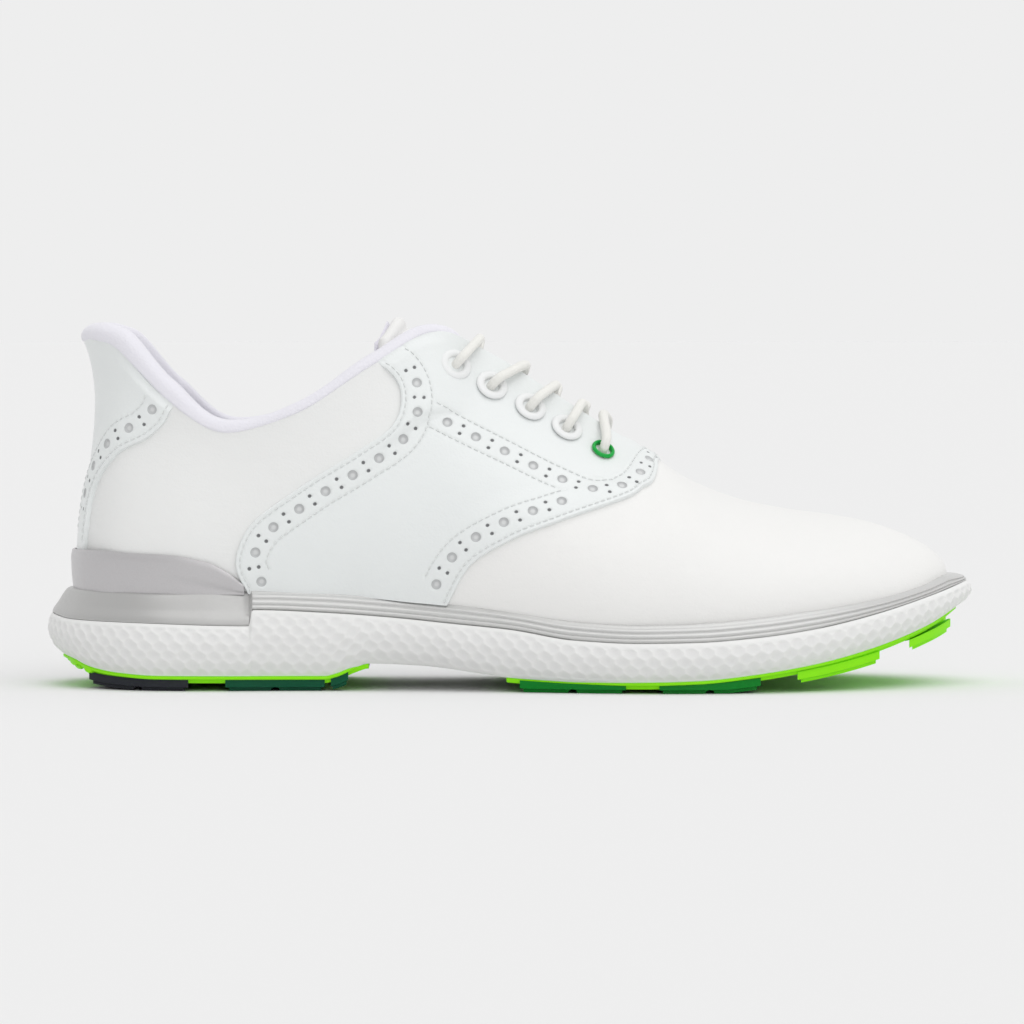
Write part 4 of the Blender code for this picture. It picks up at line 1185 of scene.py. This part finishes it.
def stations_between(side, start, stop, count):
    """Stations along the sole outline between two places in x."""
    fine = np.linspace(0, len(OUTLINE) - 1, 600)
    ends = np.interp((start, stop), outline_points(side, fine)[:, 0], fine)
    return np.linspace(*ends, count)


def build_plates():
    """Lime rubber plates whose lip turns up round the foot of the foam, with two nubs at the back."""
    shape = (
        (6.6, -0.5 - PLATE), (6.0, -0.4 - PLATE), (5.6, -0.6), (4.5, -0.35),
        (4.35, 0.05), (4.4, 0.45), (4.7, 0.7), (6.6, 0.7),
    )

    def ring_at(inset, rise):
        def ring(x, length):
            nubs = sum(np.sqrt(np.clip(1 - ((x - at) / 1.6) ** 2, 0, 1)) for at in (-146.5, -140.5))
            lip = smoothstep(-x, 48, 54) + smoothstep(x, 14, 44)
            reach = 5.6 + (inset - 5.6) * lip - 0.2 * nubs if rise > -0.6 else np.full(len(x), inset)
            lift = rise * np.where(rise > 0, lip, 1) - (1.1 * nubs if rise < 0 else 0)
            return reach, level(SOLE_UNDER, x) + lift, np.zeros(len(x))

        return ring

    rings = [ring_at(*row) for row in shape]
    for name, start, stop in (("heel", -151, -46), ("forefoot", -2.5, 151)):
        sole_wall(
            f"outsole_{name}_plate", (start, stop), rings, "lime", [f"outsole_{name}"],
            sharp=50,
        )


def inner_ring(stations, inset, height):
    """A ring inside the lining, at a height above the upper's bottom edge."""
    sides = []
    tries = np.linspace(0, 0.5, 51)
    for side in (LATERAL, MEDIAL):
        s, v = np.meshgrid(stations, tries, indexing="ij")
        walls = skin(side, s, v, np.full(s.shape, -inset))
        heights = [np.interp(height, w[:, 2] - w[0, 2], tries) for w in walls]
        sides.append(skin(side, stations, np.array(heights), np.full(stations.shape, -inset)))
    for end in (0, -1):
        sides[0][end] = sides[1][end] = (sides[0][end] + sides[1][end]) / 2
    return np.concatenate([sides[0], sides[1][::-1]])


def build_footbed():
    stations = np.linspace(0, TOE, 110)
    shape = ((2.4, 2.3), (2.2, 3.0), (2.2, 5.0), (2.5, 5.8), (3.1, 6.2))
    rings = [inner_ring(stations, inset, height) for inset, height in shape]
    faces = tube_faces(len(rings), len(stations))
    made = piece(
        "footbed", np.array(rings).reshape(-1, 3), faces, "footbed", ["sockliner"]
    )
    fix_normals(made)


def build_heel_cup():
    """Silver shell round the heel, with a soft crease toward its front corner."""
    patches = []
    for side in (LATERAL, MEDIAL):
        found = np.array([locate(side, x, z, CUP[1]) for x, z in CUP_TOP])
        table = ((0.0, CUP_BACK), *((s, v) for s, v in found))
        s, r = np.meshgrid(np.linspace(0, found[-1, 0], 150), np.linspace(0, 1, 26), indexing="ij")
        stand = OVERLAY_RISE * np.clip(2.2 - s, 0, 1)
        top = np.maximum(level(table, s), 0.06)
        soft = 0.45 * np.clip((r - 0.8) / 0.2, 0, 1) ** 2 + 0.2 * (r < 0.01)
        crease = 0.35 * np.exp(-(((r - 0.42 + 0.25 * (s - 3)) / 0.13) ** 2)) * smoothstep(s, 2.6, 3.3)
        v = r * top
        low = skin(side, s, v, CUP[0] + stand)
        high = skin(side, s, v, CUP[1] + stand - soft - crease)
        patches.append((last(side, s, v), low, high, side == MEDIAL))
    points, faces = close_sheet(*weld(patches))
    piece("heel_cup_shell", points, faces, "cup", ["heel_cup"], sharp=45)


def dress_cad_nodes():
    """Finishes for the CAD pieces whose own shape shows."""
    looks = {
        "board": "board", "inner_foam": "board", "charcoal_rubber": "charcoal", "teal_rubber": "teal",
        "green_rubber": "green", "lime_rubber": "lime",
    }
    slots = {row["node"]: row["material_slot"] for row in frame["record"]["subparts"]}
    for name, obj in frame["nodes"].items():
        if slots[name] not in looks:
            continue
        for place in obj.material_slots:
            place.material = MATERIALS[looks[slots[name]]]


# ---------------------------------------------------------------- studio

CAMERA_DISTANCE_M = 1.7
CAMERA_HEIGHT_M = 0.0565
CAMERA_TILT = math.radians(2)
FIELD_M = 0.3377
CAMERA_X_M = 0.0005
BACKGROUND = 0.855
FRONT_SKY = 0.53
FLOOR_TONE = 0.835
FLOOR_DROP_M = 0.00005
SUNS = (((0.2, -0.3, 1.0), 0.95, 60), ((0.3, -1.0, 0.45), 0.56, 60))


def build_world():
    """Plain sky, as bright as the background behind the shoe and dimmer in front of it."""
    world = bpy.data.worlds.new("studio")
    world.use_nodes = True
    tree = world.node_tree
    place = tree.nodes.new("ShaderNodeTexCoord")
    parts = tree.nodes.new("ShaderNodeSeparateXYZ")
    ramp = tree.nodes.new("ShaderNodeMapRange")
    ramp.interpolation_type = "SMOOTHSTEP"
    ramp.inputs["From Min"].default_value = -0.5
    ramp.inputs["From Max"].default_value = 0.7
    ramp.inputs["To Min"].default_value = FRONT_SKY
    ramp.inputs["To Max"].default_value = BACKGROUND
    tree.links.new(place.outputs["Generated"], parts.inputs[0])
    tree.links.new(parts.outputs["Y"], ramp.inputs["Value"])
    tree.links.new(ramp.outputs[0], tree.nodes["Background"].inputs["Color"])
    return world


def build_studio():
    scene = bpy.context.scene
    scene.view_settings.view_transform = "Standard"
    scene.world = build_world()
    for number, (way, strength, angle) in enumerate(SUNS):
        lamp = bpy.data.lights.new(f"sun_{number}", "SUN")
        lamp.energy = strength
        lamp.angle = math.radians(angle)
        obj = bpy.data.objects.new(f"sun_{number}", lamp)
        obj.rotation_euler = Vector(way).to_track_quat("Z", "Y").to_euler()
        scene.collection.objects.link(obj)
    floor = bpy.data.meshes.new("floor")
    size = 60
    corners = [(-size, -size, 0), (size, -size, 0), (size, size, 0), (-size, size, 0)]
    floor.from_pydata(corners, [], [(0, 1, 2, 3)])
    obj = bpy.data.objects.new("floor", floor)
    obj.location.z = -FLOOR_DROP_M
    plain = Surface("studio_floor", (FLOOR_TONE,) * 3, 0.9, Specular_IOR_Level=0.0)
    floor.materials.append(plain.done())
    scene.collection.objects.link(obj)
    camera = bpy.data.objects.new("camera", bpy.data.cameras.new("camera"))
    camera.data.sensor_width = 36
    camera.data.lens = 36 * CAMERA_DISTANCE_M / FIELD_M
    camera.data.clip_end = 200
    back = Vector((0, -math.cos(CAMERA_TILT), math.sin(CAMERA_TILT)))
    camera.location = Vector((CAMERA_X_M, 0, CAMERA_HEIGHT_M)) + back * CAMERA_DISTANCE_M
    camera.rotation_euler = back.to_track_quat("Z", "Y").to_euler()
    scene.collection.objects.link(camera)
    scene.camera = camera


STITCHES = []
build_studio()
MATERIALS = make_materials()
build_lace()
build_upper()
build_stitches()
build_collar_roll()
build_tongue()
build_eyelets()
build_footbed()
build_heel_cup()
build_frame()
build_midsole()
build_plates()
dress_cad_nodes()
